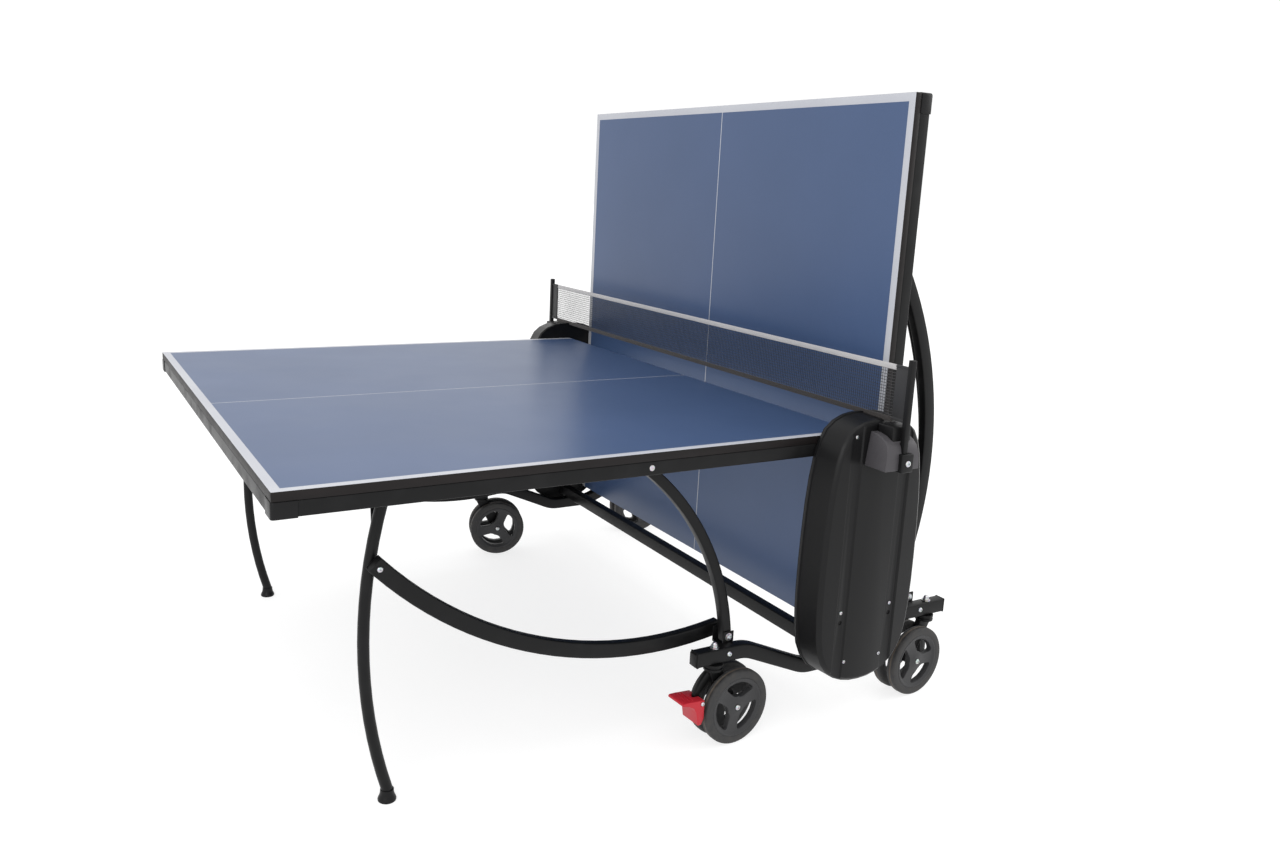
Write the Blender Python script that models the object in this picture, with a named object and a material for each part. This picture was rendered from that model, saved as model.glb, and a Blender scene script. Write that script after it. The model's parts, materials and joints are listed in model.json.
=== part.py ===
"""Roll-away ping pong table: one half down for play, the other folded upright.

Metres, +Z up.  X runs along the playing length, Y across it.  The net hangs in the plane
x = NET_X, half A lies flat on the -X side of it and half B stands upright on the +X side.
The origin is on the floor, under the middle of the table's bounding box.

Each half is a slider and crank.  A cross shaft near the net edge slides down the guide
columns while the panel turns up, two curved arms that hang from the side rails stand on the
wheel beams, and two long links swing the leg frame in towards the panel.
"""
from math import atan2, cos, degrees, hypot, pi, radians, sin

import bmesh
import bpy
from mathutils import Matrix, Vector

for old in list(bpy.data.objects):
    bpy.data.objects.remove(old, do_unlink=True)

# ---- driving dimensions -------------------------------------------------------------
NET_X = 0.4535            # net plane, from the middle of the bounding box
GAP = 0.0004              # between pieces that touch

PANEL_LENGTH = 1.370      # half of the 2.74 m playing length
PANEL_WIDTH = 1.525
BOARD_THICK = 0.019
TOP_HEIGHT = 0.760
EDGE_GAP = 0.0005         # half the joint between the two playing surfaces

RAIL_WIDTH = 0.025
RAIL_DEPTH = 0.031
RAIL_WALL = 0.0015
CORNER_LENGTH = 0.090     # plastic corner pieces
CORNER_PROUD = 0.0015

PIN_DEPTH = 0.034         # pivots under the board, below the playing surface
PIN_FROM_NET = 0.113      # slide shaft, from the net edge and from the net plane
PIN_UPRIGHT = 0.300       # height of the slide shaft with the half upright
SHAFT_RADIUS = 0.006

LEG_PIVOT = 1.110         # from the net edge
LEG_Y = 0.610
LEG_RADIUS = 0.0125
LEG_WALL = 0.0015
LEG_BOW = 0.052
LEG_FOOT = 1.115
LEG_END = 0.030           # lower end of the tube, above the floor
LEG_TURN = radians(66.7)  # how far the leg frame folds in towards its panel
CROSS_RADIUS = 0.010

LINK_ON_LEG = (1.142, 0.543)
LINK_Y = 0.6395
LINK_WIDTH = 0.025
LINK_DEPTH = 0.036
LINK_BOW = 0.110

ARM_Y = 0.689
ARM_WIDTH = 0.025
ARM_DEPTH = 0.025
ARM_BOW = 0.060

BAR_WALL = 0.0015
BAR_PAST_BOLT = 0.011
BOLT_RADIUS = 0.005
BOLT_PLAY = 0.0006

BEAM_Y = 0.7195
BEAM_WIDTH = 0.030
BEAM_DEPTH = 0.037
BEAM_END = 0.405
BEAM_HIGH = 0.229         # centre line, out at the casters
BEAM_LOW = 0.1465         # centre line, under the net
BEAM_KNEE = (0.085, 0.255)
BEAM_PIVOT_X = 0.302      # foot of the arm, and the bolt that carries the link
BRACKET_Y = 0.660

SWIVEL_X = 0.3525
WHEEL_RADIUS = 0.095
WHEEL_HALF_WIDTH = 0.013
WHEEL_SPACING = 0.050
TRAIL = 0.055
AXLE_RADIUS = 0.005
FORK_HALF = 0.009

COVER_BACK = 0.769
COVER_FRONT = 0.850
COVER_WALL = 0.003
WEB_Y = (0.7646, 0.7686)  # slotted guide plate behind the cover
COVER_OUTLINE = [(0.000, 0.814), (0.060, 0.809), (0.112, 0.778), (0.138, 0.712), (0.152, 0.600),
                 (0.157, 0.450), (0.155, 0.330), (0.143, 0.240), (0.108, 0.180), (0.055, 0.150),
                 (0.000, 0.142)]

POST_Y = 0.915
POST_TOP = 0.960
NET_BOTTOM = 0.818
NET_TOP = 0.943
NET_END = 0.868

PIVOT_HEIGHT = TOP_HEIGHT - PIN_DEPTH
PIN_TRAVEL = PIVOT_HEIGHT - PIN_UPRIGHT
UPRIGHT_EDGE = PIN_UPRIGHT - PIN_FROM_NET   # height of the net edge with the half upright
HALF_WIDTH = PANEL_WIDTH / 2
RAIL_TOP = TOP_HEIGHT - BOARD_THICK - GAP
RAIL_MIDDLE = RAIL_TOP - RAIL_DEPTH / 2


# ---- materials ----------------------------------------------------------------------
def material(name, colour, roughness, metallic=0.0):
    made = bpy.data.materials.new(name)
    made.use_nodes = True
    shader = made.node_tree.nodes["Principled BSDF"]
    shader.inputs["Base Color"].default_value = (*colour, 1.0)
    shader.inputs["Roughness"].default_value = roughness
    shader.inputs["Metallic"].default_value = metallic
    return made


BOARD_BLUE = material("board_blue", (0.065, 0.125, 0.240), 0.35)
STEEL_BLACK = material("steel_black", (0.012, 0.013, 0.014), 0.40)
PLASTIC_BLACK = material("plastic_black", (0.016, 0.016, 0.018), 0.50)
PLASTIC_GREY = material("plastic_grey", (0.060, 0.060, 0.066), 0.45)
ZINC = material("zinc_steel", (0.550, 0.550, 0.560), 0.30, 1.0)
WHEEL_GREY = material("wheel_grey", (0.030, 0.030, 0.032), 0.55)
NET_BLACK = material("net_black", (0.020, 0.020, 0.024), 0.80)
BRAKE_RED = material("brake_red", (0.420, 0.020, 0.030), 0.45)


# ---- mesh helpers -------------------------------------------------------------------
def make(name, bm, finish, holder=None, matrix=None):
    """Turn a bmesh into an object in table coordinates, held by an empty on its joint's axis."""
    if matrix is not None:
        bmesh.ops.transform(bm, matrix=matrix, verts=bm.verts)
    bmesh.ops.remove_doubles(bm, verts=bm.verts, dist=0.00002)
    bmesh.ops.recalc_face_normals(bm, faces=bm.faces)
    mesh = bpy.data.meshes.new(name)
    bm.to_mesh(mesh)
    bm.free()
    mesh.materials.append(finish)
    mesh.shade_smooth()
    mesh.set_sharp_from_angle(angle=radians(35))
    made = bpy.data.objects.new(name, mesh)
    bpy.context.collection.objects.link(made)
    if holder is not None:
        made.parent = holder
        made.matrix_parent_inverse = Matrix.Translation(-Vector(holder["axis_at"]))
    return made


def holder_at(name, at, parent=None):
    """An empty on a joint's axis, in table coordinates."""
    empty = bpy.data.objects.new(name, None)
    bpy.context.collection.objects.link(empty)
    empty["axis_at"] = tuple(at)
    empty.parent = parent
    empty.location = Vector(at) - Vector(parent["axis_at"]) if parent else Vector((NET_X, 0, 0))
    return empty


def ring_strip(bm, rings):
    """Join closed rings of vertices, each to the next, with quads."""
    for first, second in zip(rings, rings[1:]):
        count = len(first)
        for i in range(count):
            bm.faces.new((first[i], first[(i + 1) % count], second[(i + 1) % count], second[i]))


def rectangle(width, depth):
    return [(-width / 2, -depth / 2), (width / 2, -depth / 2), (width / 2, depth / 2), (-width / 2, depth / 2)]


def circle(radius, sides):
    return [(radius * cos(2 * pi * i / sides), radius * sin(2 * pi * i / sides)) for i in range(sides)]


def tube(path, lateral, outer, inner=None):
    """Sweep a section along a flat path.  With an inner section the bar is hollow, open at its ends."""
    bm = bmesh.new()
    path = [Vector(p) for p in path]
    lateral = Vector(lateral)
    rings = {"outer": [], "inner": []}
    for i, point in enumerate(path):
        ahead = path[min(i + 1, len(path) - 1)] - point
        behind = point - path[max(i - 1, 0)]
        tangent = (ahead.normalized() + behind.normalized()).normalized()
        across = tangent.cross(lateral)
        stretch = 1.0 / max(0.5, tangent.dot((ahead if ahead.length else behind).normalized()))
        for key, section in (("outer", outer), ("inner", inner)):
            if section:
                rings[key].append([bm.verts.new(point + lateral * s + across * (d * stretch)) for s, d in section])
    ring_strip(bm, rings["outer"])
    if inner:
        ring_strip(bm, rings["inner"])
        for end in (0, -1):
            ring_strip(bm, [rings["outer"][end], rings["inner"][end]])
    else:
        bm.faces.new(rings["outer"][0])
        bm.faces.new(rings["outer"][-1])
    return bm


def box_tube(path, lateral, width, depth, wall):
    return tube(path, lateral, rectangle(width, depth), rectangle(width - 2 * wall, depth - 2 * wall))


def block(low, high):
    bm = bmesh.new()
    bmesh.ops.create_cube(bm, size=1.0)
    low, high = Vector(low), Vector(high)
    size = high - low
    scale = Matrix.Diagonal((size.x, size.y, size.z, 1.0))
    bmesh.ops.transform(bm, matrix=Matrix.Translation((low + high) / 2) @ scale, verts=bm.verts)
    return bm


def rod(start, end, radius, sides=12):
    """A solid round bar between two points."""
    start, end = Vector(start), Vector(end)
    bm = bmesh.new()
    bmesh.ops.create_cone(bm, cap_ends=True, segments=sides, radius1=radius, radius2=radius,
                          depth=(end - start).length)
    turn = (end - start).to_track_quat("Z", "Y").to_matrix().to_4x4()
    bmesh.ops.transform(bm, matrix=Matrix.Translation((start + end) / 2) @ turn, verts=bm.verts)
    return bm


def lathe(profile, sides):
    """Turn a closed or axis-to-axis outline of (radius, height) points about Z."""
    bm = bmesh.new()
    on_axis = profile[0][0] == 0.0
    rings = []
    for radius, height in profile:
        if radius == 0.0:
            rings.append([bm.verts.new((0, 0, height))])
            continue
        turn = [2 * pi * i / sides for i in range(sides)]
        rings.append([bm.verts.new((radius * cos(a), radius * sin(a), height)) for a in turn])
    if not on_axis:
        rings.append(rings[0])
    for first, second in zip(rings, rings[1:]):
        for i in range(sides):
            j = (i + 1) % sides
            corners = [first[i % len(first)], first[j % len(first)], second[j % len(second)], second[i % len(second)]]
            bm.faces.new(list(dict.fromkeys(corners)))
    return bm


def plate(outline, y_from, y_to, holes=()):
    """Extrude an outline of (x, z) points along Y, with holes."""
    curve = bpy.data.curves.new("outline", "CURVE")
    curve.dimensions = "2D"
    curve.fill_mode = "BOTH"
    curve.extrude = abs(y_to - y_from) / 2
    for loop in (outline, *holes):
        spline = curve.splines.new("POLY")
        spline.points.add(len(loop) - 1)
        for point, (x, z) in zip(spline.points, loop):
            point.co = (x, z, 0, 1)
        spline.use_cyclic_u = True
    carrier = bpy.data.objects.new("outline", curve)
    mesh = bpy.data.meshes.new_from_object(carrier)
    bm = bmesh.new()
    bm.from_mesh(mesh)
    bpy.data.objects.remove(carrier)
    bpy.data.meshes.remove(mesh)
    stand = Matrix.Translation((0, (y_from + y_to) / 2, 0)) @ Matrix.Rotation(pi / 2, 4, "X")
    bmesh.ops.transform(bm, matrix=stand, verts=bm.verts)
    bmesh.ops.remove_doubles(bm, verts=bm.verts, dist=0.00002)
    return bm


def boolean(target, tool_mesh, operation="DIFFERENCE"):
    """Cut or join with a closed bmesh, given in the target's own coordinates."""
    bmesh.ops.remove_doubles(tool_mesh, verts=tool_mesh.verts, dist=0.00002)
    bmesh.ops.recalc_face_normals(tool_mesh, faces=tool_mesh.faces)
    tool_data = bpy.data.meshes.new("tool")
    tool_mesh.to_mesh(tool_data)
    tool_mesh.free()
    tool = bpy.data.objects.new("tool", tool_data)
    bpy.context.collection.objects.link(tool)
    modifier = target.modifiers.new("shape", "BOOLEAN")
    modifier.operation = operation
    modifier.solver = "EXACT"
    modifier.object = tool
    plain = target.copy()
    plain.parent = None
    plain.matrix_world = Matrix.Identity(4)
    bpy.context.collection.objects.link(plain)
    view = bpy.context.evaluated_depsgraph_get()
    shaped = bpy.data.meshes.new_from_object(plain.evaluated_get(view))
    target.modifiers.clear()
    target.data = shaped
    bpy.data.objects.remove(plain)
    bpy.data.objects.remove(tool)
    bpy.data.meshes.remove(tool_data)
    return target


# ---- outlines -----------------------------------------------------------------------
def bow(start, end, rise, steps):
    """Points of a circular arc from start to end that bulges to its left by rise."""
    (x0, z0), (x1, z1) = start, end
    chord = hypot(x1 - x0, z1 - z0)
    along = ((x1 - x0) / chord, (z1 - z0) / chord)
    left = (-along[1], along[0])
    radius = (chord * chord / 4 + rise * rise) / (2 * abs(rise))
    half = atan2(chord / 2, radius - abs(rise))
    sign = 1 if rise > 0 else -1
    points = []
    for i in range(steps + 1):
        angle = half * (2 * i / steps - 1)
        s = radius * sin(angle) + chord / 2
        d = sign * (radius * cos(angle) - (radius - abs(rise)))
        points.append((x0 + along[0] * s + left[0] * d, z0 + along[1] * s + left[1] * d))
    return points


def smooth_loop(points, steps):
    """A closed Catmull-Rom curve through the points."""
    count = len(points)
    loop = []
    for i in range(count):
        p = [Vector(points[(i + k - 1) % count]) for k in range(4)]
        for s in range(steps):
            t = s / steps
            value = (2 * p[1] + (p[2] - p[0]) * t + (2 * p[0] - 5 * p[1] + 4 * p[2] - p[3]) * t * t
                     + (3 * p[1] - p[0] - 3 * p[2] + p[3]) * t ** 3) / 2
            loop.append((value.x, value.y))
    return loop


def inset(loop, distance):
    """Move a clockwise loop inwards."""
    count = len(loop)
    moved = []
    for i in range(count):
        ahead = Vector(loop[(i + 1) % count]) - Vector(loop[i - 1])
        inward = Vector((ahead.y, -ahead.x)).normalized()
        point = Vector(loop[i]) + inward * distance
        moved.append((point.x, point.y))
    return moved


def slot(x, low, high, radius, steps=6):
    """A round-ended slot that runs up Z."""
    upper = [(x + radius * cos(pi * i / steps), high + radius * sin(pi * i / steps)) for i in range(steps + 1)]
    lower = [(x - radius * cos(pi * i / steps), low - radius * sin(pi * i / steps)) for i in range(steps + 1)]
    return upper + lower


def along_y(points, y):
    """Put (x, z) points at one y."""
    return [(x, y, z) for x, z in points]


# ---- the fold -----------------------------------------------------------------------
# (r, z) is the plane of motion, r measured outwards from the net plane.
def turn_about(centre, angle, rise=0.0):
    """Turn by angle from +r towards +Z about a centre, then lift by rise."""
    move = Matrix.Translation((centre[0], 0, centre[1] + rise))
    return move @ Matrix.Rotation(-angle, 4, "Y") @ Matrix.Translation((-centre[0], 0, -centre[1]))


def carried(matrix, point):
    moved = matrix @ Vector((point[0], 0, point[1]))
    return moved.x, moved.z


def heading(start, end):
    return atan2(end[1] - start[1], end[0] - start[0])


PIN_FLAT = (PIN_FROM_NET, PIVOT_HEIGHT)
UPRIGHT = pi / 2


def panel_motion(fold):
    return turn_about(PIN_FLAT, fold, -PIN_TRAVEL * fold / UPRIGHT)


def leg_motion(fold):
    return panel_motion(fold) @ turn_about((LEG_PIVOT, PIVOT_HEIGHT), -LEG_TURN * fold / UPRIGHT)


LINK_TOP = carried(leg_motion(UPRIGHT), LINK_ON_LEG)
# The link's bolt is as far from its leg joint with the half flat as with it upright.
BEAM_PIVOT_Z = (LINK_TOP[0] ** 2 + LINK_TOP[1] ** 2 - LINK_ON_LEG[0] ** 2 - LINK_ON_LEG[1] ** 2
                - 2 * BEAM_PIVOT_X * (LINK_TOP[0] - LINK_ON_LEG[0])) / (2 * (LINK_TOP[1] - LINK_ON_LEG[1]))
BEAM_PIVOT = (BEAM_PIVOT_X, BEAM_PIVOT_Z)
# The same holds for the arm's joint on the side rail, this far from the net edge.
ARM_ON_RAIL = (BEAM_PIVOT_X ** 2 + (PIVOT_HEIGHT - BEAM_PIVOT_Z) ** 2 - (PIN_FROM_NET - BEAM_PIVOT_X) ** 2
               - (UPRIGHT_EDGE - BEAM_PIVOT_Z) ** 2) / (2 * (BEAM_PIVOT_X + UPRIGHT_EDGE - BEAM_PIVOT_Z))
ARM_FLAT = (ARM_ON_RAIL, PIVOT_HEIGHT)
ARM_TURN = heading(BEAM_PIVOT, carried(panel_motion(UPRIGHT), ARM_FLAT)) - heading(BEAM_PIVOT, ARM_FLAT)
LINK_TURN = heading(BEAM_PIVOT, LINK_TOP) - heading(BEAM_PIVOT, LINK_ON_LEG)
print("beam pivot", [round(v, 5) for v in BEAM_PIVOT], "arm joint from the net edge", round(ARM_ON_RAIL, 5))
print("turns per panel turn: arm", round(ARM_TURN / UPRIGHT, 5), "link", round(LINK_TURN / UPRIGHT, 5),
      "leg", round(-LEG_TURN / UPRIGHT, 5), "slide per radian", round(PIN_TRAVEL / UPRIGHT, 5))
print("arm turn", round(degrees(ARM_TURN), 3), "link turn", round(degrees(LINK_TURN), 3))

table = holder_at("table", (0, 0, 0))


# ---- one half of the table ----------------------------------------------------------
def build_half(key, side, fold):
    """key is a or b, side is -1 or +1 in X, fold is 0 with the half flat and UPRIGHT folded up."""
    mirror = Matrix.Diagonal((side, 1, 1, 1))
    panel = mirror @ panel_motion(fold)
    leg = mirror @ leg_motion(fold)
    arm = mirror @ turn_about(BEAM_PIVOT, ARM_TURN * fold / UPRIGHT)
    link = mirror @ turn_about(BEAM_PIVOT, LINK_TURN * fold / UPRIGHT)

    pin = panel @ Vector((PIN_FROM_NET, 0, PIVOT_HEIGHT))
    hip = leg @ Vector((LEG_PIVOT, 0, PIVOT_HEIGHT))
    bolt = Vector((side * BEAM_PIVOT_X, 0, BEAM_PIVOT_Z))
    slider = holder_at(f"slider_{key}_slide", pin, table)
    panel_hold = holder_at(f"panel_{key}_hinge", pin, slider)
    leg_hold = holder_at(f"legs_{key}_hinge", hip, panel_hold)
    arm_hold = holder_at(f"arms_{key}_hinge", panel @ Vector((ARM_ON_RAIL, 0, PIVOT_HEIGHT)), panel_hold)
    link_hold = holder_at(f"links_{key}_hinge", bolt, table)

    board = block((EDGE_GAP, -HALF_WIDTH, TOP_HEIGHT - BOARD_THICK), (PANEL_LENGTH, HALF_WIDTH, TOP_HEIGHT))
    make(f"board_{key}", board, BOARD_BLUE, panel_hold, panel)

    rail_end = PANEL_LENGTH - CORNER_LENGTH - GAP
    rail_y = HALF_WIDTH - RAIL_WIDTH / 2
    for where, sign in (("near", -1), ("far", 1)):
        path = [(0.004, sign * rail_y, RAIL_MIDDLE), (rail_end, sign * rail_y, RAIL_MIDDLE)]
        rail = make(f"side_rail_{key}_{where}", box_tube(path, (0, 1, 0), RAIL_WIDTH, RAIL_DEPTH, RAIL_WALL),
                    STEEL_BLACK, panel_hold)
        outside, inside = sign * (HALF_WIDTH + 0.01), sign * (HALF_WIDTH - RAIL_WIDTH - 0.01)
        shaft_hole = SHAFT_RADIUS + BOLT_PLAY
        boolean(rail, rod((PIN_FROM_NET, inside, PIVOT_HEIGHT), (PIN_FROM_NET, outside, PIVOT_HEIGHT), shaft_hole))
        tube_hole = CROSS_RADIUS + BOLT_PLAY
        boolean(rail, rod((LEG_PIVOT, inside, PIVOT_HEIGHT), (LEG_PIVOT, sign * rail_y, PIVOT_HEIGHT), tube_hole))
        boss_end = ARM_Y + ARM_WIDTH / 2 + BOLT_PLAY
        for radius, end in ((0.008, boss_end), (BOLT_RADIUS, ARM_Y - ARM_WIDTH / 2 - 0.003)):
            boolean(rail, rod((ARM_ON_RAIL, sign * (HALF_WIDTH - 0.0005), PIVOT_HEIGHT),
                              (ARM_ON_RAIL, sign * end, PIVOT_HEIGHT), radius), "UNION")
        rail.data.transform(panel)
        if side < 0:
            rail.data.flip_normals()

        corner_y = sorted((sign * (HALF_WIDTH + CORNER_PROUD), sign * (HALF_WIDTH - CORNER_LENGTH)))
        low = RAIL_TOP - RAIL_DEPTH - CORNER_PROUD
        corner = make(f"corner_{key}_{where}",
                      block((PANEL_LENGTH - CORNER_LENGTH, corner_y[0], low),
                            (PANEL_LENGTH + CORNER_PROUD, corner_y[1], RAIL_TOP)), PLASTIC_BLACK, panel_hold)
        notch_y = sorted((sign * (HALF_WIDTH - RAIL_WIDTH), sign * (HALF_WIDTH - 2 * CORNER_LENGTH)))
        boolean(corner, block((PANEL_LENGTH - 2 * CORNER_LENGTH, notch_y[0], low - 0.01),
                              (PANEL_LENGTH - RAIL_WIDTH, notch_y[1], RAIL_TOP + 0.01)))
        corner.data.transform(panel)
        if side < 0:
            corner.data.flip_normals()

    end_y = HALF_WIDTH - CORNER_LENGTH - GAP
    end_r = PANEL_LENGTH - RAIL_WIDTH / 2
    end = box_tube([(end_r, -end_y, RAIL_MIDDLE), (end_r, end_y, RAIL_MIDDLE)], (1, 0, 0),
                   RAIL_WIDTH, RAIL_DEPTH, RAIL_WALL)
    make(f"end_rail_{key}", end, STEEL_BLACK, panel_hold, panel)
    inner_y = HALF_WIDTH - RAIL_WIDTH - GAP
    inner = box_tube([(0.050, -inner_y, RAIL_MIDDLE), (0.050, inner_y, RAIL_MIDDLE)], (1, 0, 0),
                     RAIL_WIDTH, RAIL_DEPTH, RAIL_WALL)
    make(f"net_edge_rail_{key}", inner, STEEL_BLACK, panel_hold, panel)

    # The slide shaft: a round bar through both side rails with a roller on each end.
    roller_in, roller_out, roller_radius = WEB_Y[1] + 0.001, WEB_Y[1] + 0.016, 0.011
    half_shaft = [(0, roller_out), (roller_radius, roller_out), (roller_radius, roller_in),
                  (SHAFT_RADIUS, roller_in)]
    shaft = lathe(half_shaft + [(r, -h) for r, h in reversed(half_shaft)], 12)
    lay = Matrix.Translation((PIN_FROM_NET, 0, PIVOT_HEIGHT)) @ Matrix.Rotation(pi / 2, 4, "X")
    make(f"slide_shaft_{key}", shaft, ZINC, slider, panel @ lay)

    # The leg frame: a cross tube that turns in the side rails, and two bowed legs under it.
    cross_y = HALF_WIDTH - RAIL_WIDTH / 2
    cross = tube([(LEG_PIVOT, -cross_y, PIVOT_HEIGHT), (LEG_PIVOT, cross_y, PIVOT_HEIGHT)], (1, 0, 0),
                 circle(CROSS_RADIUS, 12), circle(CROSS_RADIUS - LEG_WALL, 12))
    make(f"leg_cross_tube_{key}", cross, STEEL_BLACK, leg_hold, leg)
    bow_points = bow((LEG_PIVOT, PIVOT_HEIGHT - CROSS_RADIUS - 0.002), (LEG_FOOT, LEG_END), LEG_BOW, 8)
    for where, sign in (("near", -1), ("far", 1)):
        leg_tube = tube(along_y(bow_points, sign * LEG_Y), (0, 1, 0),
                        circle(LEG_RADIUS, 10), circle(LEG_RADIUS - LEG_WALL, 10))
        make(f"leg_{key}_{where}", leg_tube, STEEL_BLACK, leg_hold, leg)
        foot = lathe([(0, 0), (0.020, 0), (0.020, 0.006), (0.016, 0.013), (0.0145, 0.0268), (0, 0.0268)], 16)
        stand = Matrix.Translation((LEG_FOOT, sign * LEG_Y, 0))
        make(f"foot_{key}_{where}", foot, PLASTIC_BLACK, leg_hold, leg @ stand)

        for bar, hold, matrix, y, width, depth, rise, joint, past_joint, bolt_at in (
                ("arm", arm_hold, arm, ARM_Y, ARM_WIDTH, ARM_DEPTH, ARM_BOW, ARM_FLAT, 0.008, ARM_FLAT),
                ("link", link_hold, link, LINK_Y, LINK_WIDTH, LINK_DEPTH, -LINK_BOW, LINK_ON_LEG, 0.014, BEAM_PIVOT)):
            centre_line = bow(BEAM_PIVOT, joint, rise, 12)
            first, last = Vector(centre_line[0]), Vector(centre_line[-1])
            before = first + (first - Vector(centre_line[1])).normalized() * BAR_PAST_BOLT
            after = last + (last - Vector(centre_line[-2])).normalized() * past_joint
            path = along_y([before[:], *centre_line, after[:]], sign * y)
            made = make(f"{bar}_{key}_{where}", box_tube(path, (0, 1, 0), width, depth, BAR_WALL),
                        STEEL_BLACK, hold)
            hole = rod((bolt_at[0], sign * (y - width), bolt_at[1]),
                       (bolt_at[0], sign * (y + width), bolt_at[1]), BOLT_RADIUS + BOLT_PLAY)
            boolean(made, hole)
            made.data.transform(matrix)
            if side < 0:
                made.data.flip_normals()


build_half("a", -1, 0.0)
build_half("b", 1, UPRIGHT)

# ---- undercarriage ------------------------------------------------------------------
KINGPIN_RADIUS = 0.005
BEAM_TOP = BEAM_HIGH + BEAM_DEPTH / 2
BEAM_BOTTOM = BEAM_HIGH - BEAM_DEPTH / 2
CROSS_BAR_Z = BEAM_LOW + BEAM_DEPTH + GAP


def beam_line():
    """Centre line of a wheel beam: level at the casters, dipping under the upright panels."""
    low, high = BEAM_KNEE
    soft = 0.030
    half = [(low - soft, BEAM_LOW), (low, BEAM_LOW + 0.004), (low + soft, BEAM_LOW + 0.017),
            (high - soft, BEAM_HIGH - 0.017), (high, BEAM_HIGH - 0.004), (high + soft, BEAM_HIGH),
            (BEAM_END, BEAM_HIGH)]
    return [(-x, z) for x, z in reversed(half)] + half


def build_beam(where, sign):
    """A wheel beam, with an ear beside each arm's foot and a bracket under it that carries the link's bolt."""
    y = sign * BEAM_Y
    beam = make(f"wheel_beam_{where}", box_tube(along_y(beam_line(), y), (0, 1, 0),
                                                BEAM_WIDTH, BEAM_DEPTH, BAR_WALL), STEEL_BLACK, table)
    for side in (-1, 1):
        boolean(beam, rod((side * SWIVEL_X, y, BEAM_BOTTOM - 0.01), (side * SWIVEL_X, y, BEAM_TOP + 0.01),
                          KINGPIN_RADIUS + BOLT_PLAY))
        x = side * BEAM_PIVOT_X
        beam_face, ear_top = BEAM_Y - BEAM_WIDTH / 2, BEAM_PIVOT_Z + 0.014
        bracket_low, bracket_top, bracket_wall = BEAM_PIVOT_Z - 0.0258, BEAM_PIVOT_Z - 0.0218, 0.0035
        for y_in, y_out, low, high in ((beam_face - 0.0028, beam_face + 0.001, BEAM_HIGH - 0.010, ear_top),
                                       (BRACKET_Y, beam_face + 0.001, bracket_low, bracket_top),
                                       (BRACKET_Y, BRACKET_Y + bracket_wall, bracket_low, ear_top)):
            across = sorted((sign * y_in, sign * y_out))
            boolean(beam, block((x - 0.016, across[0], low), (x + 0.016, across[1], high)), "UNION")
        bolt_end = LINK_Y - LINK_WIDTH / 2 - 0.004
        boolean(beam, rod((x, sign * (BRACKET_Y + 0.001), BEAM_PIVOT_Z), (x, sign * bolt_end, BEAM_PIVOT_Z),
                          BOLT_RADIUS), "UNION")
    return beam


def build_side(where, sign):
    """Slotted guide plate, moulded cover, net bracket and net post at one side of the table."""
    outline = [(x, z) for x, z in COVER_OUTLINE] + [(-x, z) for x, z in reversed(COVER_OUTLINE[1:-1])]
    loop = smooth_loop(outline, 2)
    slots = [slot(side * PIN_FROM_NET, PIN_UPRIGHT, PIVOT_HEIGHT, SHAFT_RADIUS + 2 * BOLT_PLAY) for side in (-1, 1)]
    web = plate(inset(loop, 0.001), sign * WEB_Y[0], sign * WEB_Y[1], slots)
    make(f"guide_plate_{where}", web, STEEL_BLACK, table)

    bm = bmesh.new()
    layers = [(COVER_BACK, 0.0), (COVER_FRONT - 0.014, 0.004), (COVER_FRONT, 0.018),
              (COVER_FRONT - COVER_WALL, 0.020), (COVER_FRONT - 0.016, 0.004 + COVER_WALL),
              (COVER_BACK, COVER_WALL)]
    rings = [[bm.verts.new((x, sign * y, z)) for x, z in inset(loop, depth)] for y, depth in layers]
    ring_strip(bm, rings[:3])
    ring_strip(bm, rings[3:])
    ring_strip(bm, [rings[5], rings[0]])
    bm.faces.new(rings[2])
    bm.faces.new(rings[3])
    make(f"side_cover_{where}", bm, PLASTIC_BLACK, table)

    apron_line = [(COVER_FRONT + GAP, 0.785), (0.868, 0.780), (0.884, 0.765), (0.893, 0.740), (0.896, 0.704),
                  (COVER_FRONT + GAP, 0.704)]
    apron = bmesh.new()
    ends = [[apron.verts.new((x, sign * y, z)) for y, z in apron_line] for x in (-0.055, 0.050)]
    ring_strip(apron, ends)
    for end in ends:
        apron.faces.new(end)
    bracket = make(f"net_bracket_{where}", apron, PLASTIC_GREY, table)
    clamp_y = sorted((sign * 0.880, sign * 0.935))
    boolean(bracket, block((-0.016, clamp_y[0], 0.700), (0.020, clamp_y[1], 0.742)), "UNION")
    pocket_y = sorted((sign * (POST_Y - 0.0078), sign * (POST_Y + 0.0078)))
    boolean(bracket, block((-0.0068, pocket_y[0], 0.7105), (0.0068, pocket_y[1], 0.780)))

    post_y = sorted((sign * (POST_Y - 0.0075), sign * (POST_Y + 0.0075)))
    post = make(f"net_post_{where}", block((-0.0065, post_y[0], 0.711), (0.0065, post_y[1], POST_TOP)),
                PLASTIC_BLACK, table)
    flag_y = sorted((sign * (NET_END + 0.0006), sign * (POST_Y - 0.002)))
    boolean(post, block((-0.002, flag_y[0], NET_BOTTOM - 0.004), (0.002, flag_y[1], NET_TOP)), "UNION")


for place, y_sign in (("near", -1), ("far", 1)):
    build_beam(place, y_sign)
    build_side(place, y_sign)

BAR_REACH = WEB_Y[0] - GAP
make("cross_bar", box_tube([(0, -BAR_REACH, CROSS_BAR_Z), (0, BAR_REACH, CROSS_BAR_Z)], (1, 0, 0),
                           BEAM_WIDTH, BEAM_DEPTH, BAR_WALL), STEEL_BLACK, table)
make("net", block((-0.001, -NET_END, NET_BOTTOM), (0.001, NET_END, NET_TOP)), NET_BLACK, table)


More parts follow.
